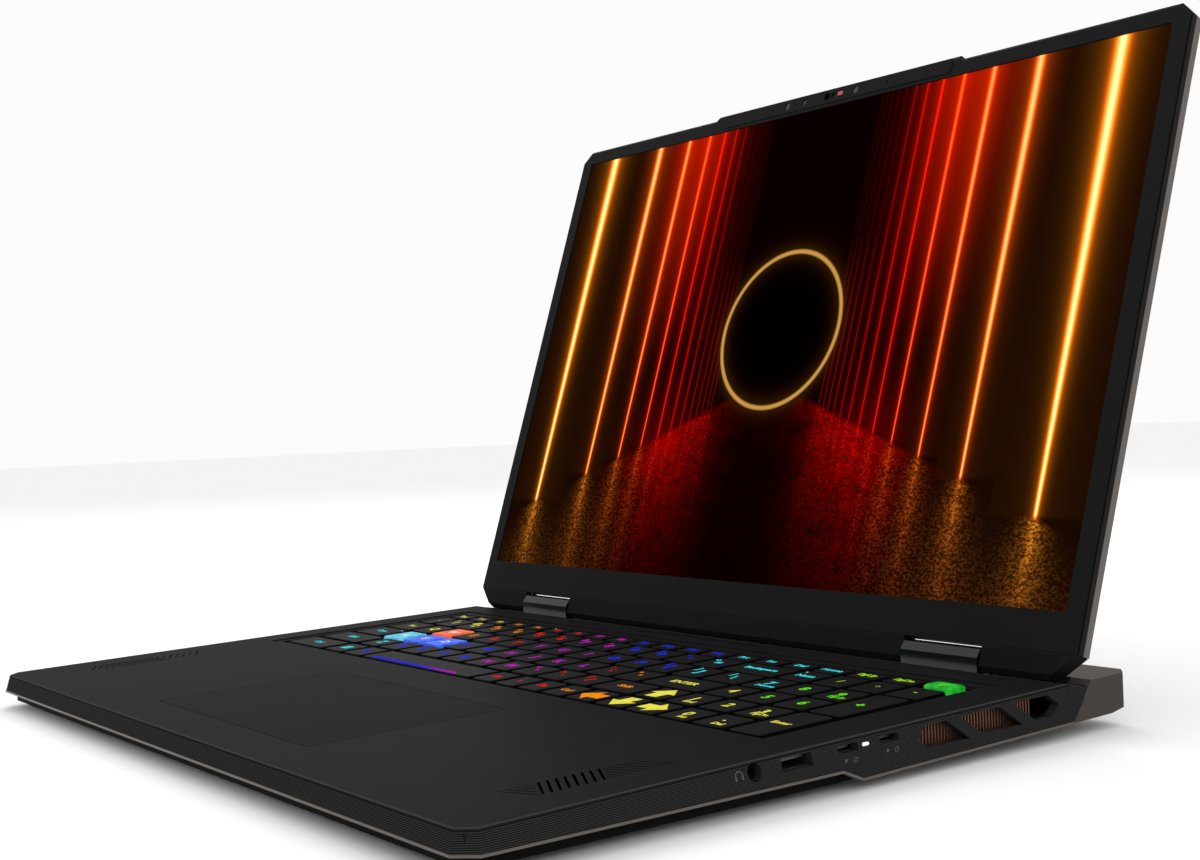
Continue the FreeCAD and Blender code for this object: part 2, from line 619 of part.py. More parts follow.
DOWN_KEY = (90.5 - KEY_WIDTH / 2, 90.5 + KEY_WIDTH / 2)


def in_row(columns, row):
    return [(x0, x1, row[0], row[1]) for x0, x1 in columns]


KEY_GROUPS = {
    "function_keys": in_row([(LEFT_EDGE + i * FUNCTION_PITCH, LEFT_EDGE + i * FUNCTION_PITCH + FUNCTION_WIDTH)
                             for i in range(16)] + NUMPAD[:3], ROW_1),
    "number_keys": in_row(NUMBER_KEYS, ROW_2),
    "backspace_key": in_row([(68.1, MAIN_EDGE)], ROW_2),
    "w_key": in_row(UPPER_KEYS[1:2], ROW_3),
    "a_key": in_row(HOME_KEYS[0:1], ROW_4),
    "s_key": in_row(HOME_KEYS[1:2], ROW_4),
    "d_key": in_row(HOME_KEYS[2:3], ROW_4),
    "upper_letter_keys": in_row(UPPER_KEYS[0:1] + UPPER_KEYS[2:] + [(78.0, MAIN_EDGE)], ROW_3),
    "home_letter_keys": in_row(HOME_KEYS[3:], ROW_4),
    "lower_letter_keys": in_row(LOWER_KEYS, ROW_5),
    "enter_key": in_row([(63.6, MAIN_EDGE)], ROW_4),
    "left_shift_key": in_row([(LEFT_EDGE, -141.0)], ROW_5),
    "right_shift_key": in_row([(54.4, 79.0)], ROW_5),
    "space_bar": in_row([(-98.0, -7.0)], ROW_6),
    "modifier_keys": in_row([(LEFT_EDGE, -155.0)], ROW_3) + in_row([(LEFT_EDGE, -151.0)], ROW_4)
    + in_row([(LEFT_EDGE, -141.0)] + key_columns(-128.5, 2, KEY_WIDTH)
             + [(-3.0, 10.0), (14.5, 27.0), (31.0, 43.5), (47.5, 60.0)], ROW_6),
    "arrow_up_key": in_row([DOWN_KEY], ROW_5),
    "arrow_left_key": in_row([(64.0, 78.6)], ROW_6),
    "arrow_down_key": in_row([DOWN_KEY], ROW_6),
    "arrow_right_key": in_row(NUMPAD[0:1], ROW_6),
    "numpad_keys": in_row(NUMPAD, ROW_2) + in_row(NUMPAD[:3], ROW_3) + in_row(NUMPAD[:3], ROW_4)
    + in_row(NUMPAD[:3], ROW_5) + in_row(NUMPAD[1:3], ROW_6)
    + [NUMPAD[3] + (ROW_4[0], ROW_3[1]), NUMPAD[3] + (ROW_6[0], ROW_5[1])],
}
POWER_BUTTON = (159.7, 175.2, 229.4, 239.0)


def rounded_wire(x0, x1, y0, y1, z, radius):
    curves = loop([(x0, y0, radius), (x1, y0, radius), (x1, y1, radius), (x0, y1, radius)])
    wire = Part.Wire(Part.__sortEdges__([c.toShape() for c in curves]))
    wire.translate(Vector(0, 0, z))
    return wire


def keycap(x0, x1, y0, y1):
    """Tapered cap with rounded corners and a softened top edge, on its square stem."""
    top, skirt = -dim["key_top"], 0.5
    bottom = top - dim["key_height"]
    edge = 0.35
    lower = rounded_wire(x0 - skirt, x1 + skirt, y0 - skirt, y1 + skirt, bottom, 1.2)
    middle = rounded_wire(x0 - 0.1, x1 + 0.1, y0 - 0.1, y1 + 0.1, top - edge, 1.1)
    upper = rounded_wire(x0 + edge / 2, x1 - edge / 2, y0 + edge / 2, y1 - edge / 2, top, 1.0)
    cap = Part.makeLoft([lower, middle, upper], True, True)
    x, y, half = (x0 + x1) / 2, (y0 + y1) / 2, dim["stem"] / 2
    stem = box_shape(x - half, x + half, y - half, y + half, -dim["plate_top"] - 0.6, bottom + 0.5)
    return cap.fuse(stem)


def power_button():
    x0, x1, y0, y1 = POWER_BUTTON
    crown, shoulder, bottom = 0.45, -0.1, -2.0
    lower = rounded_wire(x0, x1, y0, y1, bottom, 3.4)
    middle = rounded_wire(x0, x1, y0, y1, shoulder, 3.4)
    upper = rounded_wire(x0 + 0.8, x1 - 0.8, y0 + 0.8, y1 - 0.8, crown, 2.6)
    cap = Part.makeLoft([lower, middle, upper], True, True)
    x, y, half = (x0 + x1) / 2, (y0 + y1) / 2, dim["stem"] / 2
    stem_foot = -dim["plate_top"] - 0.6
    return cap.fuse(box_shape(x - half, x + half, y - half, y + half, stem_foot, bottom + 0.5))


def keyboard_plate():
    """Tray under the keys, with a guide hole for every stem."""
    body = new_body("keyboard_plate_core")
    outer = driven_rectangle(body, "outer", "XY", "-Dimensions.well_half - 3",
                             "Dimensions.well_front - 3", "2 * Dimensions.well_half + 6",
                             "Dimensions.well_rear - Dimensions.well_front + 6", -dim["plate"])
    pad(body, "frame", outer, "Dimensions.plate_top + Dimensions.plate_skin - Dimensions.plate",
        reverse=True)
    inner = driven_rectangle(body, "inner", "XY", "-Dimensions.well_half - 1.2",
                             "Dimensions.well_front - 1.2", "2 * Dimensions.well_half + 2.4",
                             "Dimensions.well_rear - Dimensions.well_front + 2.4", -dim["plate"])
    pocket(body, "hollow", inner, "Dimensions.plate_top - Dimensions.plate")
    half = dim["stem"] / 2 + dim["gap"]
    holes = []
    for x0, x1, y0, y1 in [key for keys in KEY_GROUPS.values() for key in keys] + [POWER_BUTTON]:
        x, y = (x0 + x1) / 2, (y0 + y1) / 2
        holes.append(box_loop(x - half, x + half, y - half, y + half))
    pocket(body, "stem_holes", sketch(body, "holes", "XY", holes), 8.0)
    return body


piece(keyboard_plate(), "keyboard_plate")
for label, keys in KEY_GROUPS.items():
    shape_piece(label, compound([keycap(*key) for key in keys]))
shape_piece("power_button", power_button())


# ---------------------------------------------------------------- touchpad
def touchpad():
    body = new_body("touchpad_core")
    half = dim["pad_width"] / 2
    outline = box_loop(-half, half, dim["pad_front"], dim["pad_front"] + dim["pad_depth"], 2.5)
    pad(body, "plate", sketch(body, "outline", "XY", [outline]), "Dimensions.pad_thick", reverse=True)
    return body


piece(touchpad(), "touchpad")


# ---------------------------------------------------------------- boards, battery, speakers
def mainboard():
    """T-shaped board: a wide front strip that carries the side ports, a middle between the fans."""
    body = new_body("mainboard_core")
    plan = [(-186.0, 108.0), (186.0, 108.0), (186.0, 174.0), (172.0, 174.0), (172.0, 160.5), (84.0, 160.5),
            (84.0, 248.0), (-84.0, 248.0), (-84.0, 160.5), (-172.0, 160.5), (-172.0, 174.0), (-186.0, 174.0)]
    pad(body, "board", sketch(body, "plan", "XY", [loop(plan)], -dim["board_top"]), "Dimensions.board_thick",
        reverse=True)
    return body


piece(mainboard(), "mainboard")


def battery():
    """Four flat cells side by side in one frame."""
    body = new_body("battery_core")
    top = -4.3
    frame = driven_rectangle(body, "frame", "XY", "-150", "12", "300", "92", top)
    pad(body, "tray", frame, 5.4, reverse=True)
    seams = [box_loop(x - 0.6, x + 0.6, 14.0, 102.0) for x in (-75.0, 0.0, 75.0)]
    pocket(body, "cell_seams", sketch(body, "seams", "XY", seams, top), 2.0)
    return body


piece(battery(), "battery_pack")


def speaker(side, name):
    """Sealed speaker box with a round driver cone facing the slots."""
    x0, x1 = 160.0, 194.0
    shell = box_shape(x0, x1, 22.0, 100.0, -9.3, -2.0)
    shell = shell.cut(rod(10.5, 3.0, Vector((x0 + x1) / 2, 55.0, -4.4), Vector(0, 0, 1)))
    cone = Part.makeCone(9.5, 3.0, 2.0, Vector((x0 + x1) / 2, 55.0, -2.6), Vector(0, 0, -1))
    shell = shell.fuse(cone)
    if side < 0:
        shell = shell.mirror(Vector(0, 0, 0), Vector(1, 0, 0))
    shape_piece(name, shell)


speaker(-1, "speaker_left")
speaker(1, "speaker_right")

MODULE_TOP = -dim["board_top"] - dim["board_thick"]


def memory_modules():
    """Two memory cards in their sockets, side by side under the mainboard."""
    cards = []
    for x in (-74.0, 4.0):
        card = box_shape(x, x + 69.6, 118.0, 148.0, MODULE_TOP - 2.6, MODULE_TOP - 1.4)
        socket = box_shape(x - 1.0, x + 70.6, 112.0, 119.5, MODULE_TOP - 3.8, MODULE_TOP)
        chips = [box_shape(x + 4 + i * 16.0, x + 15 + i * 16.0, 128.0, 138.0, MODULE_TOP - 3.6,
                           MODULE_TOP - 2.5) for i in range(4)]
        cards.append(card.multiFuse([socket] + chips))
    return compound(cards)


def solid_state_drive():
    x, y = -160.0, 116.0
    card = box_shape(x, x + 80.0, y, y + 22.0, MODULE_TOP - 2.4, MODULE_TOP - 1.4)
    socket = box_shape(x - 3.0, x + 3.0, y - 1.0, y + 23.0, MODULE_TOP - 3.4, MODULE_TOP)
    stand = rod(2.5, 1.5, Vector(x + 78.0, y + 11.0, MODULE_TOP - 1.5), Vector(0, 0, 1))
    chips = [box_shape(x + 12 + step, x + 28 + step, y + 4, y + 18, MODULE_TOP - 3.4, MODULE_TOP - 2.3)
             for step in (0.0, 22.0, 44.0)]
    return card.multiFuse([socket, stand] + chips)


shape_piece("memory_modules", memory_modules())
shape_piece("solid_state_drive", solid_state_drive())


# ---------------------------------------------------------------- fans, heat pipes, fins
def fan_housing(side, name):
    """Open-sided blower box: air comes in from below and leaves to the rear and the side."""
    x, y, half = side * dim["fan_x"], dim["fan_y"], dim["fan_size"] / 2
    top, bottom = -dim["fan_top"], -dim["fan_bottom"]
    shell = box_shape(x - half, x + half, y - half, y + half, bottom, top)
    room_foot = Vector(x, y, bottom + 0.8)
    shell = shell.cut(rod(dim["fan_bore"], top - bottom - 1.6, room_foot, Vector(0, 0, 1)))
    rear_exit = box_shape(x - 30.0, x + 30.0, y, y + half + 1.0, bottom + 0.8, top - 0.8)
    side_exit = box_shape(0.0, half + 1.0, -30.0, 30.0, bottom + 0.8, top - 0.8)
    if side < 0:
        side_exit = side_exit.mirror(Vector(0, 0, 0), Vector(1, 0, 0))
    side_exit.translate(Vector(x, y, 0))
    inlet = rod(27.0, 2.0, Vector(x, y, bottom - 0.5), Vector(0, 0, 1))
    spindle = rod(2.0, top - bottom - 1.9, Vector(x, y, bottom + 1.5), Vector(0, 0, 1))
    shape_piece(name, shell.cut(compound([rear_exit, side_exit, inlet])).fuse(spindle))


def fan_wheel(side, name):
    """Hub with a bore for the spindle and a ring of thin swept blades."""
    x, y = side * dim["fan_x"], dim["fan_y"]
    low, high = -dim["fan_bottom"] + 1.3, -dim["fan_top"] - 1.3
    centre = Vector(x, y, 0)
    hub = rod(13.0, high - low, Vector(x, y, low), Vector(0, 0, 1))
    blades = []
    count, thick = 36, 0.7
    for i in range(count):
        blade = box_shape(x + 12.0, x + dim["fan_radius"], y - thick / 2, y + thick / 2,
                          low + 0.4, high - 0.4)
        blade.rotate(Vector(x + 12.0, y, 0), Vector(0, 0, 1), 24.0 * side)
        blade.rotate(centre, Vector(0, 0, 1), i * 360.0 / count)
        blades.append(blade)
    wheel = hub.multiFuse(blades)
    wheel = wheel.common(rod(dim["fan_radius"], 20.0, centre + Vector(0, 0, -20.0), Vector(0, 0, 1)))
    wheel = wheel.cut(rod(2.1, 20.0, centre + Vector(0, 0, -20.0), Vector(0, 0, 1)))
    shape_piece(name, wheel)


for fan_side, fan_name in ((-1, "left"), (1, "right")):
    fan_housing(fan_side, "fan_housing_" + fan_name)
    fan_wheel(fan_side, "fan_wheel_" + fan_name)

FIN = {"pitch": 1.6, "thick": 0.5, "frame": 0.6}
FIN_STACKS = {
    "rear": {"start": 68.0, "end": 184.0, "low": -12.2, "high": -4.9, "near": 282.7, "far": 300.2},
    "side": {"start": 180.0, "end": 246.5, "low": -12.9, "high": -2.0, "near": 185.5, "far": 196.8},
}


def comb(stack):
    """Outline of a fin stack: a thin frame above, and fins that hang from it."""
    points = [(stack["start"], stack["high"] - FIN["frame"]), (stack["start"], stack["high"]),
              (stack["end"], stack["high"]), (stack["end"], stack["high"] - FIN["frame"])]
    count = int((stack["end"] - stack["start"]) / FIN["pitch"])
    for i in range(count, -1, -1):
        a = stack["start"] + i * FIN["pitch"]
        if a + FIN["thick"] < stack["end"]:
            points += [(a + FIN["thick"], stack["high"] - FIN["frame"]), (a + FIN["thick"], stack["low"]),
                       (a, stack["low"]), (a, stack["high"] - FIN["frame"])]
    return points[1:-1]


def heatsink_fins():
    rear, side = FIN_STACKS["rear"], FIN_STACKS["side"]
    return compound(both_sides(prism("XZ", comb(rear), rear["near"], rear["far"]))
                    + both_sides(prism("YZ", comb(side), side["near"], side["far"])))


def heat_pipe(points, width, low, high):
    """Flattened pipe laid flat along a line of points, with round joints at the bends."""
    parts = []
    for (x0, y0), (x1, y1) in zip(points, points[1:]):
        along = Vector(x1 - x0, y1 - y0, 0)
        run = box_shape(0, along.Length, -width / 2, width / 2, low, high)
        run.rotate(Vector(0, 0, 0), Vector(0, 0, 1), math.degrees(math.atan2(along.y, along.x)))
        run.translate(Vector(x0, y0, 0))
        parts.append(run)
    for x, y in points:
        parts.append(rod(width / 2, high - low, Vector(x, y, low), Vector(0, 0, 1)))
    return parts[0].multiFuse(parts[1:]).removeSplitter()


def heat_pipes():
    """Cold plates on the two processors and the flattened pipes to the rear fins."""
    top = MODULE_TOP
    plates = [box_shape(-62.0, -14.0, 178.0, 226.0, top - 2.2, top),
              box_shape(14.0, 62.0, 178.0, 226.0, top - 2.2, top)]
    pipes = []
    for i in range(3):
        lane, reach = 254.0 + i * 8.4, 146.0 + i * 8.0
        start = 20.0 + i * 14.0
        route = [(start, 182.0), (start, 240.0 + i * 4.0), (start + 16.0, lane), (reach, lane),
                 (reach + 6.0, lane + 5.0)]
        pipes.append(heat_pipe(route, 7.6, top - 5.0, top - 2.2))
    merged = plates[1].multiFuse(pipes)
    return compound([merged, merged.mirror(Vector(0, 0, 0), Vector(1, 0, 0))])


shape_piece("heatsink_fins", heatsink_fins())
shape_piece("heat_pipes", heat_pipes())


# ---------------------------------------------------------------- ports
def rounded_bar(y0, y1, z0, z1, radius, start, end):
    """Bar along X with rounded long edges."""
    wire = Part.Wire(Part.__sortEdges__([c.toShape() for c in box_loop(y0, y1, z0, z1, radius)]))
    wire.Placement = FreeCAD.Placement(Vector(start, 0, 0), FreeCAD.Rotation(Vector(1, 1, 1), 120))
    return Part.Face(wire).extrude(Vector(end - start, 0, 0))


def side_port(y0, y1, z0, z1, depth, tongue, skin=0.35, radius=0.3):
    """Metal socket shell on the right side, open outwards, with its tongue."""
    mouth, fit = 198.6, 0.1
    outer = (y0 + fit, y1 - fit, z0 + fit, z1 - fit)
    inner = (y0 + fit + skin, y1 - fit - skin, z0 + fit + skin, z1 - fit - skin)
    shell = rounded_bar(*outer, radius, mouth - depth, mouth)
    hollow = rounded_bar(*inner, max(radius - skin, 0.2), mouth - depth + 1.0, mouth + 1.0)
    t0, t1, low, high = tongue
    blade = box_shape(mouth - depth + 0.5, mouth - 1.0, y0 + t0, y1 - t1, low, high)
    return shell.cut(hollow).fuse(blade)


def audio_jack():
    y, z, radius = AUDIO_JACK
    mouth = 198.4
    collar = rod(radius - 0.2, 3.0, Vector(mouth - 3.0, y, z), Vector(1, 0, 0))
    shell = box_shape(mouth - 15.0, mouth - 2.9, y - 3.2, y + 3.2, -dim["board_top"], -1.7)
    barrel = collar.fuse(shell)
    return barrel.cut(rod(1.8, 13.5, Vector(mouth - 13.0, y, z), Vector(1, 0, 0)))


def usb_a_ports():
    right = side_port(*USB_A_RIGHT, 14.0, (1.2, 1.2, -3.4, -2.4))
    left = side_port(*USB_A_LEFT, 14.0, (1.2, 1.2, -3.4, -2.4)).mirror(Vector(0, 0, 0), Vector(1, 0, 0))
    return compound([right, left])


def usb_c_ports():
    middle = (USB_C_PAIR[0][2] + USB_C_PAIR[0][3]) / 2
    return compound([side_port(*opening, 9.0, (1.4, 1.4, middle - 0.35, middle + 0.35), 0.3, 1.25)
                     for opening in USB_C_PAIR])


def rear_port(opening, depth, tongue, skin=0.4):
    """Socket shell in the rear wall, open to the rear, with its tongue."""
    x0, x1, z0, z1 = opening
    mouth = dim["base_rear"] - 0.6
    shell = box_shape(x0 + 0.1, x1 - 0.1, mouth - depth, mouth, z0 + 0.1, z1 - 0.1)
    hollow = box_shape(x0 + 0.1 + skin, x1 - 0.1 - skin, mouth - depth + 1.0, mouth + 1.0, z0 + 0.1 + skin,
                       z1 - 0.1 - skin)
    body = shell.cut(hollow)
    if tongue is None:
        return body
    t0, t1, low, high = tongue
    return body.fuse(box_shape(x0 + t0, x1 - t1, mouth - depth + 0.5, mouth - 1.5, low, high))


def status_light():
    """Clear light guide that ends just inside its slot."""
    y, z = STATUS_LIGHT
    return rounded_bar(y - 1.5, y + 1.5, z - 0.5, z + 0.5, 0.45, 195.0, 200.6)


shape_piece("audio_jack", audio_jack())
shape_piece("usb_a_ports", usb_a_ports())
shape_piece("usb_c_ports", usb_c_ports())
shape_piece("ethernet_port", rear_port(ETHERNET, 16.0, None))
shape_piece("hdmi_port", rear_port(HDMI, 12.0, (3.0, 3.0, -6.4, -5.4)))
shape_piece("power_inlet", rear_port(POWER_INLET, 13.0, (3.0, 3.0, -7.6, -6.2)))
shape_piece("status_light", status_light())


# ---------------------------------------------------------------- hinges
def hinge_cover(side, name):
    """Faceted block over the hinge, hollow, open below, with a pin hole in its outer end."""
    body = new_body(name + "_core")
    start, end = 117.5, 157.0
    offset = start if side > 0 else -end
    foot = -dim["trough_depth"] + 0.05
    outer = [(265.5, foot), (274.6, foot), (274.6, 5.0), (272.2, 8.2), (268.1, 8.2), (265.5, 5.1)]
    pad(body, "block", sketch(body, "profile", "YZ", [loop(outer)], offset), end - start)
    inner = [(266.3, -4.0), (273.8, -4.0), (273.8, 4.8), (271.8, 7.4), (268.4, 7.4), (266.3, 4.8)]
    hollow = sketch(body, "hollow_profile", "YZ", [loop(inner)], offset + 0.8)
    pocket(body, "hollow", hollow, end - start - 1.6, reverse=True)
    hole = circle(dim["hinge_back"], dim["hinge_up"], dim["pin_radius"] + 0.3)
    hole_offset = end + 1.0 if side > 0 else -end - 1.0
    pocket(body, "pin_hole", sketch(body, "pin_circle", "YZ", [hole], hole_offset), 3.0, reverse=side < 0)
    return piece(body, name)


hinge_cover(-1, "hinge_cover_left")
hinge_cover(1, "hinge_cover_right")
AXIS = Vector(1, 0, 0)


def hinge_point(x):
    return Vector(x, dim["hinge_back"], dim["hinge_up"])


def hinge_brackets():
    """Fixed half of each hinge: knuckle, upright and foot plate."""
    knuckle = rod(dim["knuckle_radius"], 26.0, hinge_point(121.0), AXIS)
    upright = box_shape(122.5, 145.5, 268.7, 271.1, -7.0, 3.5)
    foot = box_shape(119.5, 152.0, 262.5, 275.0, -7.6, -5.6)
    bracket = knuckle.multiFuse([upright, foot])
    bracket = bracket.cut(rod(dim["pin_radius"], 60.0, hinge_point(100.0), AXIS))
    return compound(both_sides(bracket))


def hinge_pins():
    pin = rod(dim["pin_radius"], 49.5, hinge_point(120.0), AXIS)
    head = rod(2.2, 1.0, hinge_point(119.5), AXIS)
    return compound(both_sides(pin.fuse(head)))


shape_piece("hinge_brackets", hinge_brackets())
shape_piece("hinge_pins", hinge_pins())


def hinge_arms():
    """Moving half of each hinge: knuckle on the pin and a flat arm up behind the display panel."""
    knuckle = rod(dim["knuckle_radius"], 9.8, Vector(158.6, 0, 0), AXIS)
    arm = box_shape(158.6, 182.0, 1.0, 2.2, 2.0, 48.0)
    web = box_shape(158.6, 168.4, 0.4, 2.2, 0.0, 6.0)
    joined = knuckle.multiFuse([arm, web])
    joined = joined.cut(rod(dim["pin_radius"] + dim["pin_play"], 30.0, Vector(150.0, 0, 0), AXIS))
    return compound(both_sides(joined))


shape_piece("hinge_arms", hinge_arms(), LID)


# ---------------------------------------------------------------- lid
def lid_outline(inset, bottom):
    """Front view of the lid, drawn in by an inset, with the camera bar on top."""
    half, top, cut_size = dim["lid_half"] - inset, dim["lid_top"] - inset, dim["lid_cut"] - inset * 0.586
    bar, rise = dim["bar_half"] - inset * 0.414, dim["bar_rise"]
    return [(-half, bottom), (half, bottom), (half, top - cut_size), (half - cut_size, top),
            (bar + rise, top), (bar, top + rise), (-bar, top + rise), (-bar - rise, top), (cut_size - half, top),
            (-half, top - cut_size)]


FRONT = -dim["lid_front"]
BACK = FRONT + dim["lid_thick"]
BEZEL_BACK = FRONT + dim["bezel_skin"]
CAMERA_HEIGHT = 268.76
LENS_X = -0.3
CAMERA_HOLES = [(-39.7, 0.5), (-28.6, 2.0), (-22.5, 0.5), (-16.4, 1.5), (LENS_X, 2.0), (18.9, 2.0),
                (39.7, 0.5)]


def lid_back_cover():
    body = new_body("lid_back_core")
    front, back = BEZEL_BACK + 0.02, BACK
    outline = sketch(body, "outline", "XZ", [loop(lid_outline(0.0, dim["lid_bottom"]))], -front)
    shell = pad(body, "shell", outline, back - front, reverse=True)
    doc.recompute()
    rim = [("Edge%d" % (i + 1)) for i, e in enumerate(shell.Shape.Edges)
           if e.BoundBox.YMin > back - 0.01 and e.BoundBox.ZMin > dim["lid_bottom"] + 1.0]
    bevel = body.newObject("PartDesign::Chamfer", "back_bevel")
    bevel.Base = (shell, rim)
    bevel.Size = 1.6
    room = sketch(body, "room", "XZ", [loop(lid_outline(1.7, dim["lid_bottom"] - 1.0))], -front)
    pocket(body, "inner_room", room, back - front - dim["lid_skin"])
    return body


def screen_bezel():
    body = new_body("screen_bezel_core")
    outline = sketch(body, "outline", "XZ", [loop(lid_outline(0.5, dim["lid_bottom"]))], -BEZEL_BACK)
    frame = pad(body, "frame", outline, "Dimensions.bezel_skin")
    doc.recompute()
    rim = [("Edge%d" % (i + 1)) for i, e in enumerate(frame.Shape.Edges)
           if e.BoundBox.YMax < FRONT + 0.01 and e.BoundBox.ZMin > dim["lid_bottom"] + 1.0]
    bevel = body.newObject("PartDesign::Chamfer", "front_bevel")
    bevel.Base = (frame, rim)
    bevel.Size = 0.7
    half = dim["screen_width"] / 2
    low, high = dim["screen_bottom"], dim["screen_bottom"] + dim["screen_height"]
    opening = sketch(body, "opening", "XZ", [box_loop(-half, half, low, high, 0.6)], -BEZEL_BACK - 1.0)
    pocket(body, "screen_opening", opening, 10.0, symmetric=True)
    top = dim["lid_top"] + dim["bar_rise"] - 0.9
    raised = [(-78.0, 265.2), (78.0, 265.2), (79.4, 266.6), (79.4, top - 1.4), (78.0, top), (-78.0, top),
              (-79.4, top - 1.4), (-79.4, 266.6)]
    pad(body, "camera_bar", sketch(body, "bar", "XZ", [loop(raised)], -FRONT - 0.2), 0.55)
    holes = [circle(x, CAMERA_HEIGHT, radius) for x, radius in CAMERA_HOLES]
    holes.append(box_loop(2.6, 11.2, CAMERA_HEIGHT - 1.1, CAMERA_HEIGHT + 1.1))
    pocket(body, "camera_holes", sketch(body, "holes", "XZ", holes, -FRONT + 3.0), 10.0)
    return body


piece(lid_back_cover(), "lid_back_cover", LID)
piece(screen_bezel(), "screen_bezel", LID)


def display_panel():
    body = new_body("display_panel_core")
    outline = driven_rectangle(body, "outline", "XZ", "-Dimensions.screen_width / 2 - 3",
                               "Dimensions.screen_bottom - 7", "Dimensions.screen_width + 6",
                               "Dimensions.screen_height + 8.2", -BEZEL_BACK - 0.05)
    pad(body, "panel", outline, "Dimensions.panel_thick", reverse=True)
    return body


piece(display_panel(), "display_panel", LID)


def hinge_strip():
    """Ribbed strip below the bezel: three lengths with a notch for each hinge between them."""
    top, bottom = dim["lid_bottom"] - 0.15, -dim["strip_bottom"]
    inner, outer = dim["notch_inner"], dim["notch_outer"]
    slope = 2.2
    middle = prism("XZ", [(-inner, bottom), (inner, bottom), (inner, top), (-inner, top)], FRONT, BACK)
    end = prism("XZ", [(outer, bottom), (190.0, bottom), (201.6, top), (outer, top)], FRONT, BACK)
    edge_low = prism("YZ", [(FRONT - 1, bottom - 1), (FRONT + slope, bottom - 1), (FRONT + slope, bottom),
                            (FRONT, bottom + slope), (FRONT - 1, bottom + slope)], -210.0, 210.0)
    back_low = prism("YZ", [(BACK + 1, bottom - 1), (BACK - 1.6, bottom - 1), (BACK - 1.6, bottom),
                            (BACK, bottom + 1.6), (BACK + 1, bottom + 1.6)], -210.0, 210.0)
    knuckle_room = rod(dim["knuckle_radius"] + 0.15, 14.0, Vector(outer - 1.0, 0, 0), AXIS)
    arm_room = box_shape(outer - 0.1, 182.2, 0.3, 2.3, 0.0, top + 1.0)
    end = end.cut(compound([knuckle_room, arm_room]))
    ribs = []
    for i in range(13):
        z = top - 1.0 - i * 0.6
        ribs.append(box_shape(-195.0, 195.0, FRONT - 1.0, FRONT + 0.18, z - 0.28, z))
    pieces = [middle] + both_sides(end)
    return compound([part.cut(compound([edge_low, back_low] + ribs)) for part in pieces])


shape_piece("lid_hinge_strip", hinge_strip(), LID)


def camera_module():
    """Narrow camera board behind the bezel. The main lens sits behind the shutter, and the
    other sensors stand in the bezel's holes."""
    z, board_front = CAMERA_HEIGHT, BEZEL_BACK + 1.5
    board = box_shape(-44.0, 24.0, board_front, board_front + 1.0, z - 1.9, z + 1.9)
    lenses = []
    for x, radius in CAMERA_HOLES:
        face = BEZEL_BACK + 0.8 if x == LENS_X else FRONT + 0.1
        if radius > 1.0:
            lenses.append(rod(radius - 0.1, board_front + 0.2 - face, Vector(x, face, z), Vector(0, 1, 0)))
    return board.multiFuse(lenses)


def camera_shutter():
    """Small slide behind the bezel: a blade, and a square knob in the bezel's slot."""
    z = CAMERA_HEIGHT
    blade = box_shape(2.0, 15.0, BEZEL_BACK + 0.2, BEZEL_BACK + 0.7, z - 2.2, z + 2.2)
    knob = box_shape(7.0, 10.8, FRONT - 0.5, BEZEL_BACK + 0.4, z - 0.95, z + 0.95)
    return blade.fuse(knob)


shape_piece("camera_module", camera_module(), LID)
shape_piece("camera_shutter", camera_shutter(), LID)


def case_screws():
    """Identical pan-head screws that hold the bottom cover, standing square to the desk."""
    tilt = math.radians(dim["base_tilt"])
    underside = dim["front_height"] - dim["cover_drop"] * math.cos(tilt)
    screws = []
    for x, y in SCREWS:
        foot = Vector(x, y * math.cos(tilt) - level(y) * math.sin(tilt), underside - 0.8)
        head = rod(2.1, 0.79, foot, Vector(0, 0, 1))
        shank = rod(1.2, 4.0, foot + Vector(0, 0, 0.5), Vector(0, 0, 1))
        screws.append(head.fuse(shank))
    return compound(screws)


shape_piece("case_screws", case_screws(), DESK)

# ---------------------------------------------------------------- checks and export
doc.recompute()
for made in doc.Objects:
    if "Invalid" in made.State or "Error" in made.State:
        raise RuntimeError("failed object: " + made.Label)
os.makedirs("parts", exist_ok=True)
for made in nodes:
    if made.Shape.isNull() or not made.Shape.isValid():
        raise RuntimeError("bad shape: " + made.Label)
    made.Shape.exportStep("parts/%s.step" % made.Label)
    print(made.Label, len(made.Shape.Solids), "solids", round(made.Shape.Volume), "mm3")
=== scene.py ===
import math

import bmesh
import bpy
from mathutils import Matrix, Vector


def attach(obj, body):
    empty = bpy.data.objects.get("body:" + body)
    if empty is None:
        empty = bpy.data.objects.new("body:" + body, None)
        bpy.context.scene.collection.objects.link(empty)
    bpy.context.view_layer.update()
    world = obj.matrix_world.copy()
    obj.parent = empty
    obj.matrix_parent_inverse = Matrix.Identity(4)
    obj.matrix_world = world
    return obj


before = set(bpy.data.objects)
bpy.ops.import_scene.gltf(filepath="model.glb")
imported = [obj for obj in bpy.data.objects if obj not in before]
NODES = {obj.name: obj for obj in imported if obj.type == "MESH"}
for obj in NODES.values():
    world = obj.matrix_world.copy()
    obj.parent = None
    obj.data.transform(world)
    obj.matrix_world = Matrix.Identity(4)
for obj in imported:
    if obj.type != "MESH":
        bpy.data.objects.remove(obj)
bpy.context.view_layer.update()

# ------------------------------------------------------------------ frames of the base and the lid
MM = 0.001
BASE = Matrix.Translation((0, -0.17974, 0.0153)) @ Matrix.Rotation(math.radians(1.165), 4, "X")
LID = BASE @ Matrix.Translation((0, 0.2699, 0.0043)) @ Matrix.Rotation(math.radians(-20.02), 4, "X")
SCREEN_BOTTOM, SCREEN_HEIGHT, SCREEN_HALF = 20.96, 242.3, 193.85
VANISHING_HEIGHT, FLOOR_SLOPE = 100.5, 0.378
RING_HEIGHT, RING_RADIUS = 126.0, 40.0
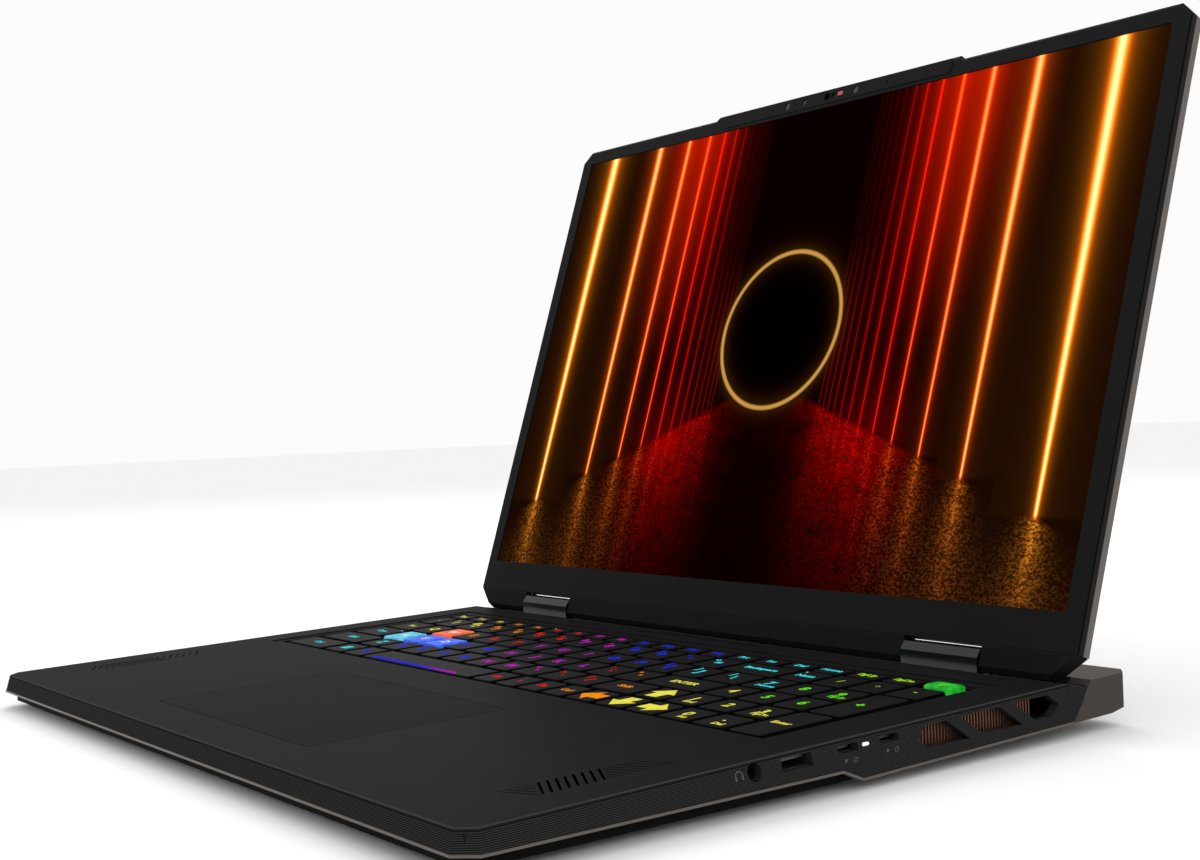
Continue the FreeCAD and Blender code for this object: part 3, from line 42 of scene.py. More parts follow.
BAR_SPREAD, FIRST_BAR, LAST_BAR = 538.0, 3.15, 11.0


def srgb(r, g, b):
    """Linear colour of an 8-bit display colour."""
    return tuple(((c / 255 + 0.055) / 1.055) ** 2.4 if c > 10 else c / 255 / 12.92 for c in (r, g, b)) + (1.0,)


# ------------------------------------------------------------------ node materials
class Num:
    """A number inside a material: arithmetic on it adds Math nodes."""

    def __init__(self, graph, socket):
        self.graph, self.socket = graph, socket

    def op(self, name, *others, clamp=False):
        node = self.graph.nodes.new("ShaderNodeMath")
        node.operation = name
        node.use_clamp = clamp
        for i, value in enumerate((self,) + others):
            if isinstance(value, Num):
                self.graph.links.new(value.socket, node.inputs[i])
            else:
                node.inputs[i].default_value = value
        return Num(self.graph, node.outputs[0])

    def __add__(self, other):
        return self.op("ADD", other)

    __radd__ = __add__

    def __sub__(self, other):
        return self.op("SUBTRACT", other)

    def __rsub__(self, other):
        return self * -1.0 + other

    def __mul__(self, other):
        return self.op("MULTIPLY", other)

    __rmul__ = __mul__

    def __truediv__(self, other):
        return self.op("DIVIDE", other)

    def power(self, other):
        return self.op("POWER", other)

    def inverse(self, top=1.0):
        return self.op("POWER", -1.0) * top

    def abs(self):
        return self.op("ABSOLUTE")

    def exp(self):
        return self.op("EXPONENT")

    def at_least(self, other):
        return self.op("MAXIMUM", other)

    def at_most(self, other):
        return self.op("MINIMUM", other)

    def rounded(self):
        return self.op("ROUND")

    def above(self, other):
        return self.op("GREATER_THAN", other)

    def below(self, other):
        return self.op("LESS_THAN", other)

    def ramp(self, low, high):
        """0 at low and 1 at high, straight between them."""
        return ((self - low) * (1.0 / (high - low))).op("ADD", 0.0, clamp=True)


class Finish:
    """One procedural material with its own helper nodes."""

    def __init__(self, name, space=None):
        self.material = bpy.data.materials.new(name)
        self.material.use_nodes = True
        tree = self.material.node_tree
        self.nodes, self.links = tree.nodes, tree.links
        self.shader = [n for n in self.nodes if n.type == "BSDF_PRINCIPLED"][0]
        coordinates = self.nodes.new("ShaderNodeTexCoord")
        mapping = self.nodes.new("ShaderNodeMapping")
        local = (space or BASE).inverted()
        mapping.inputs["Location"].default_value = local.translation * 1000
        mapping.inputs["Rotation"].default_value = local.to_euler()
        mapping.inputs["Scale"].default_value = (1000, 1000, 1000)
        self.links.new(coordinates.outputs["Object"], mapping.inputs["Vector"])
        self.place = mapping.outputs["Vector"]

    def axes(self):
        split = self.nodes.new("ShaderNodeSeparateXYZ")
        self.links.new(self.place, split.inputs[0])
        return [Num(self, split.outputs[i]) for i in range(3)]

    def noise(self, scale, detail=3.0, stretch=(1, 1, 1)):
        """Noise with features of about 1 / scale millimetres."""
        source = self.place
        if stretch != (1, 1, 1):
            mapping = self.nodes.new("ShaderNodeMapping")
            mapping.inputs["Scale"].default_value = stretch
            self.links.new(source, mapping.inputs["Vector"])
            source = mapping.outputs["Vector"]
        node = self.nodes.new("ShaderNodeTexNoise")
        node.inputs["Scale"].default_value = scale
        node.inputs["Detail"].default_value = detail
        self.links.new(source, node.inputs["Vector"])
        return Num(self, node.outputs["Fac"] if "Fac" in node.outputs else node.outputs[0])

    def mix(self, factor, low, high):
        node = self.nodes.new("ShaderNodeMix")
        node.data_type = "RGBA"
        if isinstance(factor, Num):
            self.links.new(factor.socket, node.inputs[0])
        else:
            node.inputs[0].default_value = factor
        for socket, value in ((node.inputs[6], low), (node.inputs[7], high)):
            if isinstance(value, bpy.types.NodeSocket):
                self.links.new(value, socket)
            else:
                socket.default_value = value
        return node.outputs[2]

    def colour(self, red, green, blue):
        node = self.nodes.new("ShaderNodeCombineColor")
        for socket, value in zip(node.inputs, (red, green, blue)):
            if isinstance(value, Num):
                self.links.new(value.socket, socket)
            else:
                socket.default_value = value
        return node.outputs[0]

    def set(self, **values):
        for name, value in values.items():
            socket = self.shader.inputs[name.replace("_", " ")]
            if isinstance(value, Num):
                self.links.new(value.socket, socket)
            elif isinstance(value, bpy.types.NodeSocket):
                self.links.new(value, socket)
            else:
                socket.default_value = value
        return self

    def bump(self, height, strength, distance=0.0002):
        node = self.nodes.new("ShaderNodeBump")
        node.inputs["Strength"].default_value = strength
        node.inputs["Distance"].default_value = distance
        self.links.new(height.socket, node.inputs["Height"])
        self.links.new(node.outputs["Normal"], self.shader.inputs["Normal"])


def grained(name, low, high, roughness, metallic=0.0, grain=2.5, bump=0.05, spread=0.08, space=None,
            stretch=(1, 1, 1), specular=0.5):
    """Moulded, painted or blasted surface: fine grain in colour, roughness and height."""
    made = Finish(name, space)
    fine = made.noise(grain, 2.0, stretch)
    broad = made.noise(0.03, 2.0)
    tone = (fine * 0.65 + broad * 0.35).ramp(0.3, 0.7)
    made.set(Base_Color=made.mix(tone, low, high), Metallic=metallic, Specular_IOR_Level=specular,
             Roughness=fine * spread + (roughness - spread / 2))
    made.bump(fine, bump)
    return made


def glowing(name, rgb, strength, space=None):
    """Lit legend or light guide: slightly uneven glow over a tinted body."""
    made = Finish(name, space)
    uneven = made.noise(0.6, 1.0).ramp(0.25, 0.75) * 0.35 + 0.8
    tint = srgb(*rgb)
    dark, lit = [tuple(c * share for c in tint[:3]) + (1.0,) for share in (0.02, 0.12)]
    made.set(Base_Color=made.mix(uneven * 0.5, dark, lit), Roughness=0.5, Specular_IOR_Level=0.0,
             Emission_Color=tint, Emission_Strength=uneven * strength)
    return made


deck = grained("deck_charcoal", srgb(24, 24, 25), srgb(29, 29, 30), 0.5, grain=3.5, bump=0.10, specular=0.006)
# painted highlight: the walls' level ribs and the bevel of the top edge are painted a shade lighter, as light
# catching them; painted shade: grooves and gaps in the top are painted dark
RIB_PITCH, FLAT_HALF, FLAT_FRONT, PALM_REAR = 0.6, 188.0, 2.2, 112.0
across, along, level = deck.axes()
rib_highlight = ((level + 1.0) * (-1.0 / RIB_PITCH)).op("FRACT").above(0.48) * level.below(-1.0)
outer_edge = across.abs().above(FLAT_HALF).op("MAXIMUM", along.below(FLAT_FRONT))
bevel_highlight = level.below(-0.03) * level.above(-0.42) * outer_edge
in_palm_rest = across.abs().below(FLAT_HALF) * along.above(FLAT_FRONT) * along.below(PALM_REAR)
# painted shade: gaps and grooves sunk into the palm rest top are painted near black
sunk_painted_shade = level.below(-0.04) * level.above(-2.0) * in_palm_rest
plain = deck.shader.inputs["Base Color"].links[0].from_socket
# painted highlight: rib ridges and the top edge bevel are mixed towards a lighter grey
painted_highlight_tone = deck.mix(rib_highlight * 0.6 + bevel_highlight * 0.9, plain, srgb(58, 58, 59))
deck.set(Base_Color=deck.mix(sunk_painted_shade, painted_highlight_tone, (0.0008, 0.0008, 0.0008, 1.0)))
trim = grained("trim_silver", srgb(92, 86, 80), srgb(104, 97, 90), 0.36, metallic=0.9, grain=6, bump=0.04)
cover = grained("cover_black", srgb(12, 12, 13), srgb(17, 17, 18), 0.6, grain=2, bump=0.15, specular=0.03)
bronze = grained("block_bronze", srgb(62, 57, 53), srgb(74, 69, 64), 0.5, metallic=0.3, grain=7, bump=0.05,
                 specular=0.02)
back = grained("lid_silver", srgb(98, 92, 88), srgb(110, 104, 99), 0.38, metallic=0.85, grain=7, bump=0.04,
               space=LID)
# the lid cover's rim is painted black next to the bezel
RIM_PAINT_EDGE = 0.6
lid_depth = back.axes()[1]
light_tone = back.shader.inputs["Base Color"].links[0].from_socket
back.set(Base_Color=back.mix(lid_depth.below(RIM_PAINT_EDGE), light_tone, srgb(14, 14, 14)),
         Metallic=lid_depth.above(RIM_PAINT_EDGE) * 0.85, Specular_IOR_Level=0.05)
bezel = grained("bezel_black", srgb(20, 20, 21), srgb(25, 25, 26), 0.5, grain=4, bump=0.08, space=LID,
                specular=0.03)
gloss = grained("hinge_gloss", srgb(52, 52, 53), srgb(60, 60, 61), 0.22, metallic=0.9, grain=1, bump=0.0)
# the cover's face swells slightly towards the deck
drop = (gloss.axes()[2] * -1.0 + 3.5).at_least(0.0)
gloss.bump(drop * drop * 0.034, 1.0, 0.001)
plate = grained("plate_dark", srgb(6, 6, 7), srgb(10, 10, 11), 0.6, grain=2, bump=0.1, specular=0.02)
keycap = grained("key_black", srgb(25, 25, 26), srgb(30, 30, 31), 0.5, grain=5, bump=0.05, specular=0.014)
# painted shade: the caps' sides are painted darker than their tops, as shade in the gaps between keys
cap_top = keycap.axes()[2].above(-0.62)
top_tone = keycap.shader.inputs["Base Color"].links[0].from_socket
keycap.set(Base_Color=keycap.mix(cap_top, (0.0012, 0.0012, 0.0012, 1.0), top_tone))
rubber = grained("foot_rubber", srgb(14, 14, 14), srgb(19, 19, 19), 0.85, grain=1.5, bump=0.2, specular=0.03)
steel = grained("hinge_steel", srgb(150, 150, 150), srgb(175, 175, 175), 0.33, metallic=1.0, grain=4,
                stretch=(0.1, 1, 1))
socket_metal = grained("port_metal", srgb(70, 70, 72), srgb(86, 86, 88), 0.4, metallic=0.9, grain=3)
copper = grained("heat_pipe_copper", srgb(186, 112, 78), srgb(205, 130, 92), 0.35, metallic=1.0, grain=1,
                 bump=0.03)
fins = grained("fin_copper", srgb(104, 72, 54), srgb(128, 92, 70), 0.45, metallic=0.7, grain=1.2, bump=0.05)
board = grained("board_green", srgb(16, 50, 34), srgb(24, 64, 44), 0.45, grain=0.4, bump=0.1)
foil = grained("battery_wrap", srgb(28, 28, 29), srgb(36, 36, 38), 0.5, grain=0.8, bump=0.08)
inner = grained("inner_black", srgb(9, 9, 9), srgb(14, 14, 14), 0.55, grain=2, bump=0.1, specular=0.05)
touch = grained("touchpad_surface", srgb(17, 17, 18), srgb(21, 21, 22), 0.42, grain=6, bump=0.03,
                specular=0.0035)
lens = grained("camera_glass", srgb(14, 14, 16), srgb(26, 26, 30), 0.12, grain=0.4, bump=0.0, space=LID)
shutter = grained("shutter_red", srgb(196, 34, 30), srgb(216, 52, 44), 0.45, grain=1, bump=0.05, space=LID)
# red window mark on a grey blade
blade_x = shutter.axes()[0]
red_tone = shutter.shader.inputs["Base Color"].links[0].from_socket
shutter.set(Base_Color=shutter.mix(blade_x.above(7.6) * blade_x.below(10.3), srgb(52, 52, 53), red_tone))


def clear_key(name, low, high, strength):
    """Translucent cap lit from below, with an uneven cloudy glow."""
    made = Finish(name)
    cloud = made.noise(0.25, 2.0).ramp(0.3, 0.7)
    dim_low, dim_high = [tuple(c * 0.12 for c in srgb(*tone)[:3]) + (1.0,) for tone in (low, high)]
    made.set(Base_Color=made.mix(cloud, dim_low, dim_high), Roughness=0.4, Specular_IOR_Level=0.03,
             Emission_Color=made.mix(cloud, srgb(*low), srgb(*high)), Emission_Strength=cloud * 0.2 + strength)
    return made


clear_red = clear_key("key_clear_red", (232, 82, 36), (244, 108, 56), 0.75)
clear_cyan = clear_key("key_clear_cyan", (62, 176, 214), (104, 210, 234), 0.7)
clear_blue = clear_key("key_clear_blue", (38, 78, 236), (68, 116, 246), 0.75)
power = clear_key("power_green", (16, 150, 34), (52, 214, 62), 0.6)
light = glowing("status_white", (250, 250, 250), 1.2)


def screen_finish():
    """Picture of a dark corridor between two rows of lit upright bars, on a glossy floor."""
    made = Finish("screen_picture", LID)
    x, y, z = made.axes()
    v = z - SCREEN_BOTTOM
    a = x.abs().at_least(8.0)
    slot_number = (a.inverse(BAR_SPREAD) - FIRST_BAR).rounded().at_least(0.0).at_most(LAST_BAR)
    centre = (slot_number + FIRST_BAR).inverse(BAR_SPREAD)
    size = centre * (1.0 / 170.0)
    away = (a - centre).abs()
    foot = VANISHING_HEIGHT - centre * FLOOR_SLOPE
    height = ((v - foot) / (SCREEN_HEIGHT - foot)).at_least(0.0)
    on = v.op("SUBTRACT", foot).ramp(-1.0, 1.5)
    far = slot_number.ramp(0.0, 4.2)
    core_width = size * (height * 2.5 + 0.9) * (1.0 - far * 0.6)
    nearness = away / core_width
    core = (nearness * nearness * -1.0).exp() * on
    halo_width = size * (height * 3.4 + 1.3)
    halo = (away / halo_width * -1.0).exp() * on
    wide = (away / (size * 15.0) * -1.0).exp() * on
    faint = (slot_number * -0.3).exp()
    fade = 1.0 - slot_number.ramp(2.6, 6.6) * (v.ramp(60.0, 170.0) * 0.5 + 0.47)
    core = core * (slot_number * -0.10).exp() * fade
    halo = halo * (slot_number * -0.10).exp() * fade
    sharp = core * core
    dark_middle = a.ramp(38.0, 74.0)
    # haze between the bars: brown outside, red towards the middle
    lane = (a - 92.0) * (1.0 / 24.0)
    haze = (lane * lane * -1.0).exp() * v.ramp(110.0, 250.0).power(1.5)
    low_lane = (a - 66.0) * (1.0 / 24.0)
    low_band = (v - 70.0) * (1.0 / 24.0)
    low_glow = (low_lane * low_lane * -1.0 - low_band * low_band).exp()
    brown = a.ramp(80.0, 130.0)
    # the floor and its streaks
    edge = VANISHING_HEIGHT - a * FLOOR_SLOPE
    floor = (edge - v).ramp(-1.0, 2.0)
    depth = (foot - v).at_least(0.0)
    spread = size * 2.4 + depth * 0.10
    streak = (away / spread * -1.0).exp() * (depth * -0.04).exp() * (1.0 - on)
    speckle = made.noise(0.75, 5.0, (1.0, 1.0, 1.5)).ramp(0.42, 0.74)
    coarse = made.noise(0.06, 2.0, (1.0, 1.0, 1.6)).ramp(0.3, 0.7)
    below_edge = (edge - v).at_least(0.0)
    red_lane = (a - 64.0) * (1.0 / 30.0)
    floor_red = (red_lane * red_lane * -1.0).exp() * (below_edge * (-1.0 / 26.0)).exp()
    floor_brown = a.ramp(70.0, 120.0) * below_edge.ramp(4.0, 40.0)
    shine = streak * (speckle * 1.0 + 0.10) * (faint * 0.8 + 0.2)
    # plain thin ring in the middle
    ring_radius = (x * x + (v - RING_HEIGHT) * (v - RING_HEIGHT)).power(0.5)
    ring_away = (ring_radius - RING_RADIUS).abs()
    ring = (1.5 - ring_away).op("ADD", 0.0, clamp=True)
    ring_glow = (ring_away * -0.35).exp() * 0.05
    mute = ring_radius.ramp(RING_RADIUS - 2.0, RING_RADIUS + 4.0) * 0.7 + 0.3
    warm = 1.0 - far
    warmer = warm * warm
    hot = warmer * warm
    red = (core * 1.7 + halo * 0.62 + (wide * 0.022 + haze * 0.42 + low_glow * 0.07) * dark_middle + brown * 0.006
           + floor * (shine * 1.5 + floor_red * (speckle * 0.36 + coarse * 0.20) + floor_brown * speckle * 0.05)
           + 0.003) * mute + ring * 0.55 + ring_glow
    green = (sharp * (warm * 1.02 + 0.03) + halo * (hot * 0.16 + 0.006) + wide * warm * 0.006 + haze * 0.008
             + brown * 0.0026 + floor * (shine * (warm * 0.44 + 0.02) + floor_brown * speckle * 0.014)) * mute \
        + ring * 0.30 + ring_glow * 0.35
    blue = (sharp * sharp * (warm * 0.46 + 0.02) + halo * warmer * 0.005 + brown * 0.0006
            + floor * (shine * warm * 0.03 + floor_brown * speckle * 0.004)) * mute + ring * 0.07
    inside_picture = x.abs().below(SCREEN_HALF) * v.above(0.0) * v.below(SCREEN_HEIGHT) * y.below(-2.0)
    made.set(Base_Color=(0.0, 0.0, 0.0, 1.0), Roughness=made.noise(4.0).ramp(0.0, 1.0) * 0.05 + 0.4,
             Emission_Color=made.colour(red, green, blue), Emission_Strength=inside_picture * 1.0,
             Specular_IOR_Level=0.0)
    return made


screen = screen_finish()

FINISHES = {
    "palm_rest_deck": deck, "base_trim_band": trim, "bottom_cover": cover, "rear_exhaust_block": bronze,
    "rear_exhaust_cap": bronze, "rubber_feet": rubber, "keyboard_plate": plate, "touchpad": touch,
    "mainboard": board, "battery_pack": foil, "speaker_left": inner, "speaker_right": inner,
    "memory_modules": board, "solid_state_drive": board, "fan_housing_left": inner, "fan_wheel_left": inner,
    "fan_housing_right": inner, "fan_wheel_right": inner, "heatsink_fins": fins, "heat_pipes": copper,
    "audio_jack": inner, "usb_a_ports": socket_metal, "usb_c_ports": socket_metal,
    "ethernet_port": socket_metal, "hdmi_port": socket_metal, "power_inlet": inner, "status_light": light,
    "hinge_cover_left": gloss, "hinge_cover_right": gloss, "hinge_brackets": steel, "hinge_pins": steel,
    "hinge_arms": steel, "lid_back_cover": back, "screen_bezel": bezel, "display_panel": screen,
    "lid_hinge_strip": bezel, "camera_module": lens, "camera_shutter": shutter, "case_screws": steel,
    "w_key": clear_red, "a_key": clear_cyan, "s_key": clear_blue, "d_key": clear_blue, "power_button": power,
}
for name, thing in NODES.items():
    chosen = FINISHES.get(name, keycap)
    thing.data.materials.clear()
    thing.data.materials.append(chosen.material)


# ------------------------------------------------------------------ flat marks: key legends and port icons
class Marks:
    """Thin printed or lit shapes gathered into one mesh that rides on one body."""

    def __init__(self, name, body, place):
        self.name, self.body, self.place = name, body, place
        self.points, self.faces, self.kinds, self.finishes = [], [], [], []

    def add(self, points, faces, finish):
        if finish not in self.finishes:
            self.finishes.append(finish)
        offset = len(self.points)
        self.points += [self.place @ (Vector(p) * MM) for p in points]
        self.faces += [[offset + i for i in face] for face in faces]
        self.kinds += [self.finishes.index(finish)] * len(faces)

    def polygon(self, outline, z, finish):
        self.add([(x, y, z) for x, y in outline], [list(range(len(outline)))], finish)

    def disc(self, x, y, radius, z, finish, count=12):
        turns = [2 * math.pi * i / count for i in range(count)]
        self.polygon([(x + radius * math.cos(t), y + radius * math.sin(t)) for t in turns], z, finish)

    def text(self, words, x, y, z, size, finish):
        points, faces = lettering(words)
        self.add([(x + p[0] * size, y + p[1] * size, z) for p in points], faces, finish)

    def finish(self):
        mesh = bpy.data.meshes.new(self.name)
        mesh.from_pydata(self.points, [], self.faces)
        for made in self.finishes:
            mesh.materials.append(made.material)
        mesh.polygons.foreach_set("material_index", self.kinds)
        mesh.update()
        made = bpy.data.objects.new(self.name, mesh)
        bpy.context.scene.collection.objects.link(made)
        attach(made, self.body)
        return made


LETTERS = {}


def lettering(words):
    """Flat outline of plain characters, one unit high, centred on the origin."""
    if words not in LETTERS:
        curve = bpy.data.curves.new("lettering", "FONT")
        curve.body = words
        curve.resolution_u = 3
        curve.offset = 0.036
        holder = bpy.data.objects.new("lettering", curve)
        bpy.context.scene.collection.objects.link(holder)
        bpy.context.view_layer.update()
        mesh = bpy.data.meshes.new_from_object(holder.evaluated_get(bpy.context.evaluated_depsgraph_get()))
        points = [tuple(p.co) for p in mesh.vertices]
        faces = [list(f.vertices) for f in mesh.polygons]
        xs, ys = [p[0] for p in points], [p[1] for p in points]
        middle = ((min(xs) + max(xs)) / 2, (min(ys) + max(ys)) / 2)
        LETTERS[words] = [(p[0] - middle[0], p[1] - middle[1]) for p in points], faces
        bpy.data.objects.remove(holder)
        bpy.data.meshes.remove(mesh)
        bpy.data.curves.remove(curve)
    return LETTERS[words]


def icon_arc(drawn, x, radius, width, start, end, finish, y=0.0, z=0.0):
    steps = [math.radians(start + (end - start) * i / 14) for i in range(15)]
    for t, u in zip(steps, steps[1:]):
        corners = [(r, w) for r, w in ((radius, t), (radius, u), (radius - width, u), (radius - width, t))]
        drawn.polygon([(x + r * math.cos(w), y + r * math.sin(w)) for r, w in corners], z, finish)


PALETTE = {"yellow": (226, 220, 76), "orange": (240, 140, 20), "red": (240, 22, 18), "magenta": (202, 18, 196),
           "blue": (22, 48, 255), "cyan": (58, 226, 234), "lime": (160, 226, 16), "green": (98, 220, 18),
           "white": (240, 240, 240)}
INK = {name: glowing("legend_" + name, rgb, 1.0) for name, rgb in PALETTE.items()}
TOP = -0.27
ROW_1, ROW_2, ROW_3 = (230.0, 238.5), (210.8, 227.3), (191.3, 207.8)
ROW_4, ROW_5, ROW_6 = (171.8, 188.3), (152.8, 168.8), (133.3, 149.3)
marks = {}


def on_key(node):
    if node not in marks:
        marks[node] = Marks("legend_" + node, node, BASE)
    return marks[node]


def label(node, x, row, words, colour, shifted="", size=7.2):
    y = (row[0] + row[1]) / 2
    drawn = on_key(node)
    drawn.text(words, x, y + 0.4, TOP, size, INK[colour])
    if shifted:
        if len(shifted) > 1:
            drawn.text(shifted, x + 2.2, y - 4.4, TOP, size * 0.55, INK[colour])
        else:
            drawn.text(shifted, x - 4.6, y + 4.6, TOP, size * 0.75, INK[colour])


def row_labels(node, first, row, entries, size=7.2, pitch=19.05):
    for i, entry in enumerate(entries):
        if entry:
            words, colour = entry[0], entry[1]
            label(node, first + i * pitch, row, words, colour, entry[2] if len(entry) > 2 else "", size)


function_colours = ["yellow"] * 3 + ["orange"] * 2 + ["red"] * 2 + ["magenta"] * 2 + ["blue"] * 4 + ["cyan"] * 3
function_words = ["Esc"] + ["F%d" % i for i in range(1, 13)] + ["Prt", "Ins", "Del"]
row_labels("function_keys", -168.35, ROW_1, list(zip(function_words, function_colours)), 4.5, 17.28)
row_labels("function_keys", 109.1, ROW_1, [("Home", "cyan"), ("PgUp", "lime"), ("PgDn", "lime")], 4.5)
digit_colours = ["yellow", "yellow", "orange", "orange", "red", "red", "magenta", "magenta", "blue", "blue",
                 "blue", "cyan"]
digits = [(w, c, s) for w, c, s in zip("1234567890-=", digit_colours, "!@#$%^&*()_+")]
label("number_keys", -169.8, ROW_2, "`", "yellow", "", 5.2)
row_labels("number_keys", -153.0, ROW_2, digits)
label("backspace_key", 82.8, ROW_2, "Backspace", "cyan", "", 4.6)
row_labels("numpad_keys", 109.1, ROW_2, [("Num", "cyan"), ("/", "lime"), ("*", "lime"), ("-", "lime")], 5.0)
upper = [("Q", "yellow"), None, ("E", "orange"), ("R", "red"), ("T", "red"), ("Y", "magenta"), ("U", "magenta"),
         ("I", "magenta"), ("O", "blue"), ("P", "blue"), ("[", "blue", "{"), ("]", "cyan", "}")]
row_labels("upper_letter_keys", -143.25, ROW_3, upper)
label("upper_letter_keys", 87.75, ROW_3, "\\", "cyan", "|")
label("modifier_keys", -165.0, ROW_3, "Tab", "yellow", "", 4.2)
row_labels("numpad_keys", 109.1, ROW_3, [("7", "cyan", "Home"), ("8", "green"), ("9", "green", "PgUp")])
label("numpad_keys", 166.25, (ROW_4[0], ROW_3[1]), "+", "green")
home = [None, None, None, ("F", "blue"), ("G", "blue"), ("H", "magenta"), ("J", "magenta"), ("K", "magenta"),
        ("L", "magenta"), (";", "red", ":"), ("'", "orange", '"')]
row_labels("home_letter_keys", -138.5, ROW_4, home)
label("modifier_keys", -163.0, ROW_4, "Caps", "cyan", "", 4.2)
label("enter_key", 80.5, ROW_4, "ENTER", "yellow", "", 5.2)
row_labels("numpad_keys", 109.1, ROW_4, [("4", "yellow"), ("5", "green"), ("6", "green")])
lower = [("Z", "cyan"), ("X", "blue"), ("C", "blue"), ("V", "blue"), ("B", "blue"), ("N", "magenta"),
         ("M", "magenta"), (",", "magenta", "<"), (".", "red", ">"), ("/", "red", "?")]
row_labels("lower_letter_keys", -128.5, ROW_5, lower)
label("left_shift_key", -158.0, ROW_5, "Shift", "cyan", "", 4.6)
label("right_shift_key", 66.7, ROW_5, "Shift", "orange", "", 4.6)
row_labels("numpad_keys", 109.1, ROW_5, [("1", "yellow", "End"), ("2", "yellow"), ("3", "yellow", "PgDn")])
label("numpad_keys", 166.25, (ROW_6[0], ROW_5[1]), "Enter", "yellow", "", 4.2)
label("modifier_keys", -158.0, ROW_6, "Ctrl", "cyan", "", 4.6)
label("modifier_keys", -109.45, ROW_6, "Alt", "blue", "", 4.6)
label("modifier_keys", 3.5, ROW_6, "Alt", "red", "", 4.6)
label("modifier_keys", 20.75, ROW_6, "\\", "red", "", 5.0)
label("modifier_keys", 37.25, ROW_6, "Fn", "red", "", 5.4)
label("modifier_keys", 53.75, ROW_6, "Ctrl", "orange", "", 4.2)
row_labels("numpad_keys", 128.15, ROW_6, [("0", "yellow", "Ins"), (".", "yellow", "Del")])
for node, x, row, words in (("w_key", -124.2, ROW_3, "W"), ("a_key", -138.5, ROW_4, "A"),
                            ("s_key", -119.45, ROW_4, "S"), ("d_key", -100.4, ROW_4, "D")):
    label(node, x, row, words, "white", "", 6.2)
# the menu key's plain square, and the big arrows
squares = on_key("modifier_keys")
for dx in (-1.5, 1.5):
    for dy in (-1.5, 1.5):
        x, y = -128.5 + dx, 141.6 + dy
        squares.polygon([(x - 1.25, y - 1.25), (x + 1.25, y - 1.25), (x + 1.25, y + 1.25), (x - 1.25, y + 1.25)],
                        TOP, INK["cyan"])


def arrow(node, x, row, turn, colour):
    """Broad filled arrow that points along the turned +Y."""
    y = (row[0] + row[1]) / 2
    shape = [(-7.0, -0.4), (-3.3, -0.4), (-3.3, -6.8), (3.3, -6.8), (3.3, -0.4), (7.0, -0.4), (0.0, 7.2)]
    c, s = math.cos(math.radians(turn)), math.sin(math.radians(turn))
    on_key(node).polygon([(x + a * c - b * s, y + a * s + b * c) for a, b in shape], TOP, INK[colour])


arrow("arrow_up_key", 90.5, ROW_5, 0, "yellow")
arrow("arrow_left_key", 71.3, ROW_6, 90, "orange")
arrow("arrow_down_key", 90.5, ROW_6, 180, "yellow")
arrow("arrow_right_key", 109.1, ROW_6, 270, "yellow")
# lit bar along the front of the space bar
bar = Finish("space_light")
bar_x = bar.axes()[0]
bar_mix = bar.mix(bar_x.ramp(-46.0, -24.0), srgb(30, 44, 240), srgb(190, 24, 196))
bar.set(Base_Color=(0.01, 0.005, 0.02, 1.0), Roughness=0.5, Specular_IOR_Level=0.0, Emission_Color=bar_mix,
        Emission_Strength=bar.noise(0.5).ramp(0.2, 0.8) * 0.3 + 0.6)
on_key("space_bar").polygon([(-92.0, 133.7), (-17.0, 133.7), (-20.5, 136.4), (-89.0, 136.4)], TOP, bar)
# power symbol: an open ring and a stroke
button = Marks("power_symbol", "power", BASE)
icon_arc(button, 167.45, 2.3, 0.55, 115, 425, INK["green"], 234.2, 0.48)
button.polygon([(167.15, 234.2), (167.75, 234.2), (167.75, 237.2), (167.15, 237.2)], 0.48, INK["green"])
button.finish()
# white indicator dots
for node, x, y in (("function_keys", -173.2, 237.0), ("function_keys", -155.9, 237.0),
                   ("function_keys", -86.8, 237.0), ("modifier_keys", -153.4, 186.6),
                   ("numpad_keys", 103.6, 225.4)):
    on_key(node).disc(x, y, 0.55, TOP, INK["white"], 8)
for drawn in marks.values():
    drawn.finish()

# plain icons beside the sockets, printed on the right side wall
print_grey = grained("icon_print", srgb(74, 74, 74), srgb(88, 88, 88), 0.6, specular=0.05)


def wall_place(z):
    """Frame on the right side wall at a height: local x runs backwards, local y up."""
    spread = 2.0 * min(-z / 7.0, 1.0)
    lean = -math.atan(2.0 / 7.0) if z > -7.0 else 0.0
    axes = Matrix(((0, math.sin(lean), 1), (1, 0, 0), (0, math.cos(lean), 0))).to_4x4()
    axes.translation = Vector((200.06 + spread, 0, z)) * MM
    return BASE @ axes


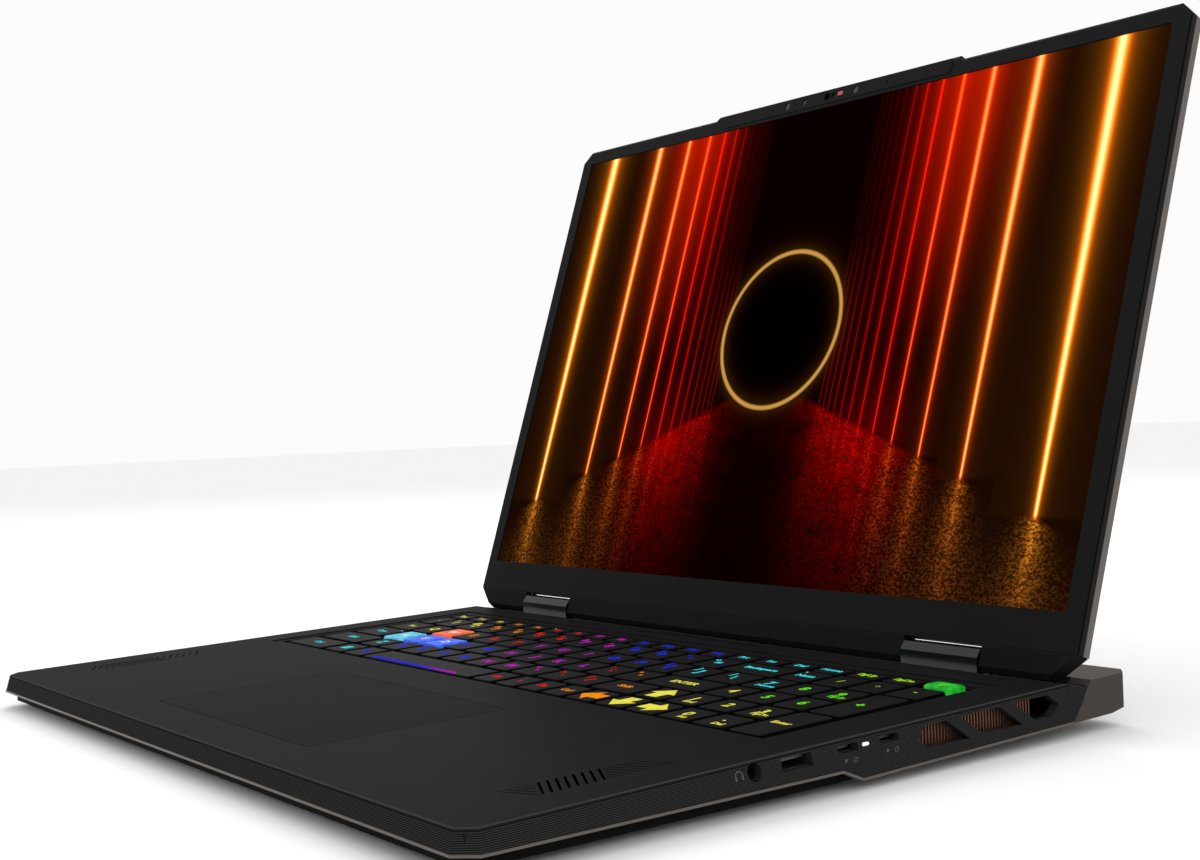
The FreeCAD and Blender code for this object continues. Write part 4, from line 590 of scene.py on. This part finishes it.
icons = Marks("icon_headset", "base", wall_place(-3.6))
icon_arc(icons, 99.6, 1.6, 0.35, 0, 180, print_grey)
for dx in (-1.4, 1.4):
    icons.polygon([(99.6 + dx - 0.35, -1.3), (99.6 + dx + 0.35, -1.3), (99.6 + dx + 0.35, 0.1),
                   (99.6 + dx - 0.35, 0.1)], 0.0, print_grey)
icons.finish()
icons = Marks("icon_data_and_power", "base", wall_place(-7.4))
for middle in (147.7, 167.3):
    icons.polygon([(middle - 2.6, 1.0), (middle - 2.0, 1.0), (middle - 1.5, 0.1), (middle - 1.9, 0.1),
                   (middle - 2.5, -1.1), (middle - 2.2, -0.1), (middle - 2.9, -0.1)], 0.0, print_grey)
    icon_arc(icons, middle + 2.2, 0.95, 0.3, 0, 180, print_grey)
    icon_arc(icons, middle + 2.2, 0.95, 0.3, 180, 360, print_grey)
icons.finish()

# ------------------------------------------------------------------ floor, light and camera
floor_mesh = bpy.data.meshes.new("floor")
grid = bmesh.new()
bmesh.ops.create_grid(grid, x_segments=2, y_segments=2, size=6.0)
grid.to_mesh(floor_mesh)
grid.free()
floor_thing = bpy.data.objects.new("floor", floor_mesh)
bpy.context.scene.collection.objects.link(floor_thing)
pale = Finish("floor_pale")
pale.set(Base_Color=pale.mix(pale.noise(0.004), (0.91, 0.91, 0.91, 1), (0.94, 0.94, 0.94, 1)), Roughness=0.9,
         Specular_IOR_Level=0.1)
floor_mesh.materials.append(pale.material)

world = bpy.data.worlds.new("studio")
bpy.context.scene.world = world
world.use_nodes = True
background = world.node_tree.nodes["Background"]
background.inputs[0].default_value = (1, 1, 1, 1)
background.inputs[1].default_value = 0.97


def area_light(name, place, target, width, height, power_watts):
    lamp = bpy.data.lights.new(name, "AREA")
    lamp.shape, lamp.size, lamp.size_y, lamp.energy = "RECTANGLE", width, height, power_watts
    thing = bpy.data.objects.new(name, lamp)
    thing.location = place
    thing.rotation_mode = "QUATERNION"
    thing.rotation_quaternion = (Vector(target) - Vector(place)).to_track_quat("-Z", "Y")
    bpy.context.scene.collection.objects.link(thing)


area_light("key_light", (-0.9, 0.5, 1.3), (0, 0, 0), 1.0, 0.9, 9)
area_light("side_light", (1.3, -0.7, 0.8), (0.1, 0.05, 0.05), 0.7, 0.7, 3)

camera = bpy.data.cameras.new("camera")
camera.sensor_width, camera.lens = 36.0, 47.90
camera.shift_x, camera.shift_y = -0.0013, 0.0389
camera.clip_start, camera.clip_end = 0.01, 50.0
camera_thing = bpy.data.objects.new("camera", camera)
camera_thing.location = (0.56597, -0.40589, 0.12623)
camera_thing.rotation_euler = [math.radians(a) for a in (87.8038, 2.1128, 52.7208)]
bpy.context.scene.collection.objects.link(camera_thing)
bpy.context.scene.camera = camera_thing
bpy.context.scene.view_settings.view_transform = "Standard"
bpy.context.view_layer.update()
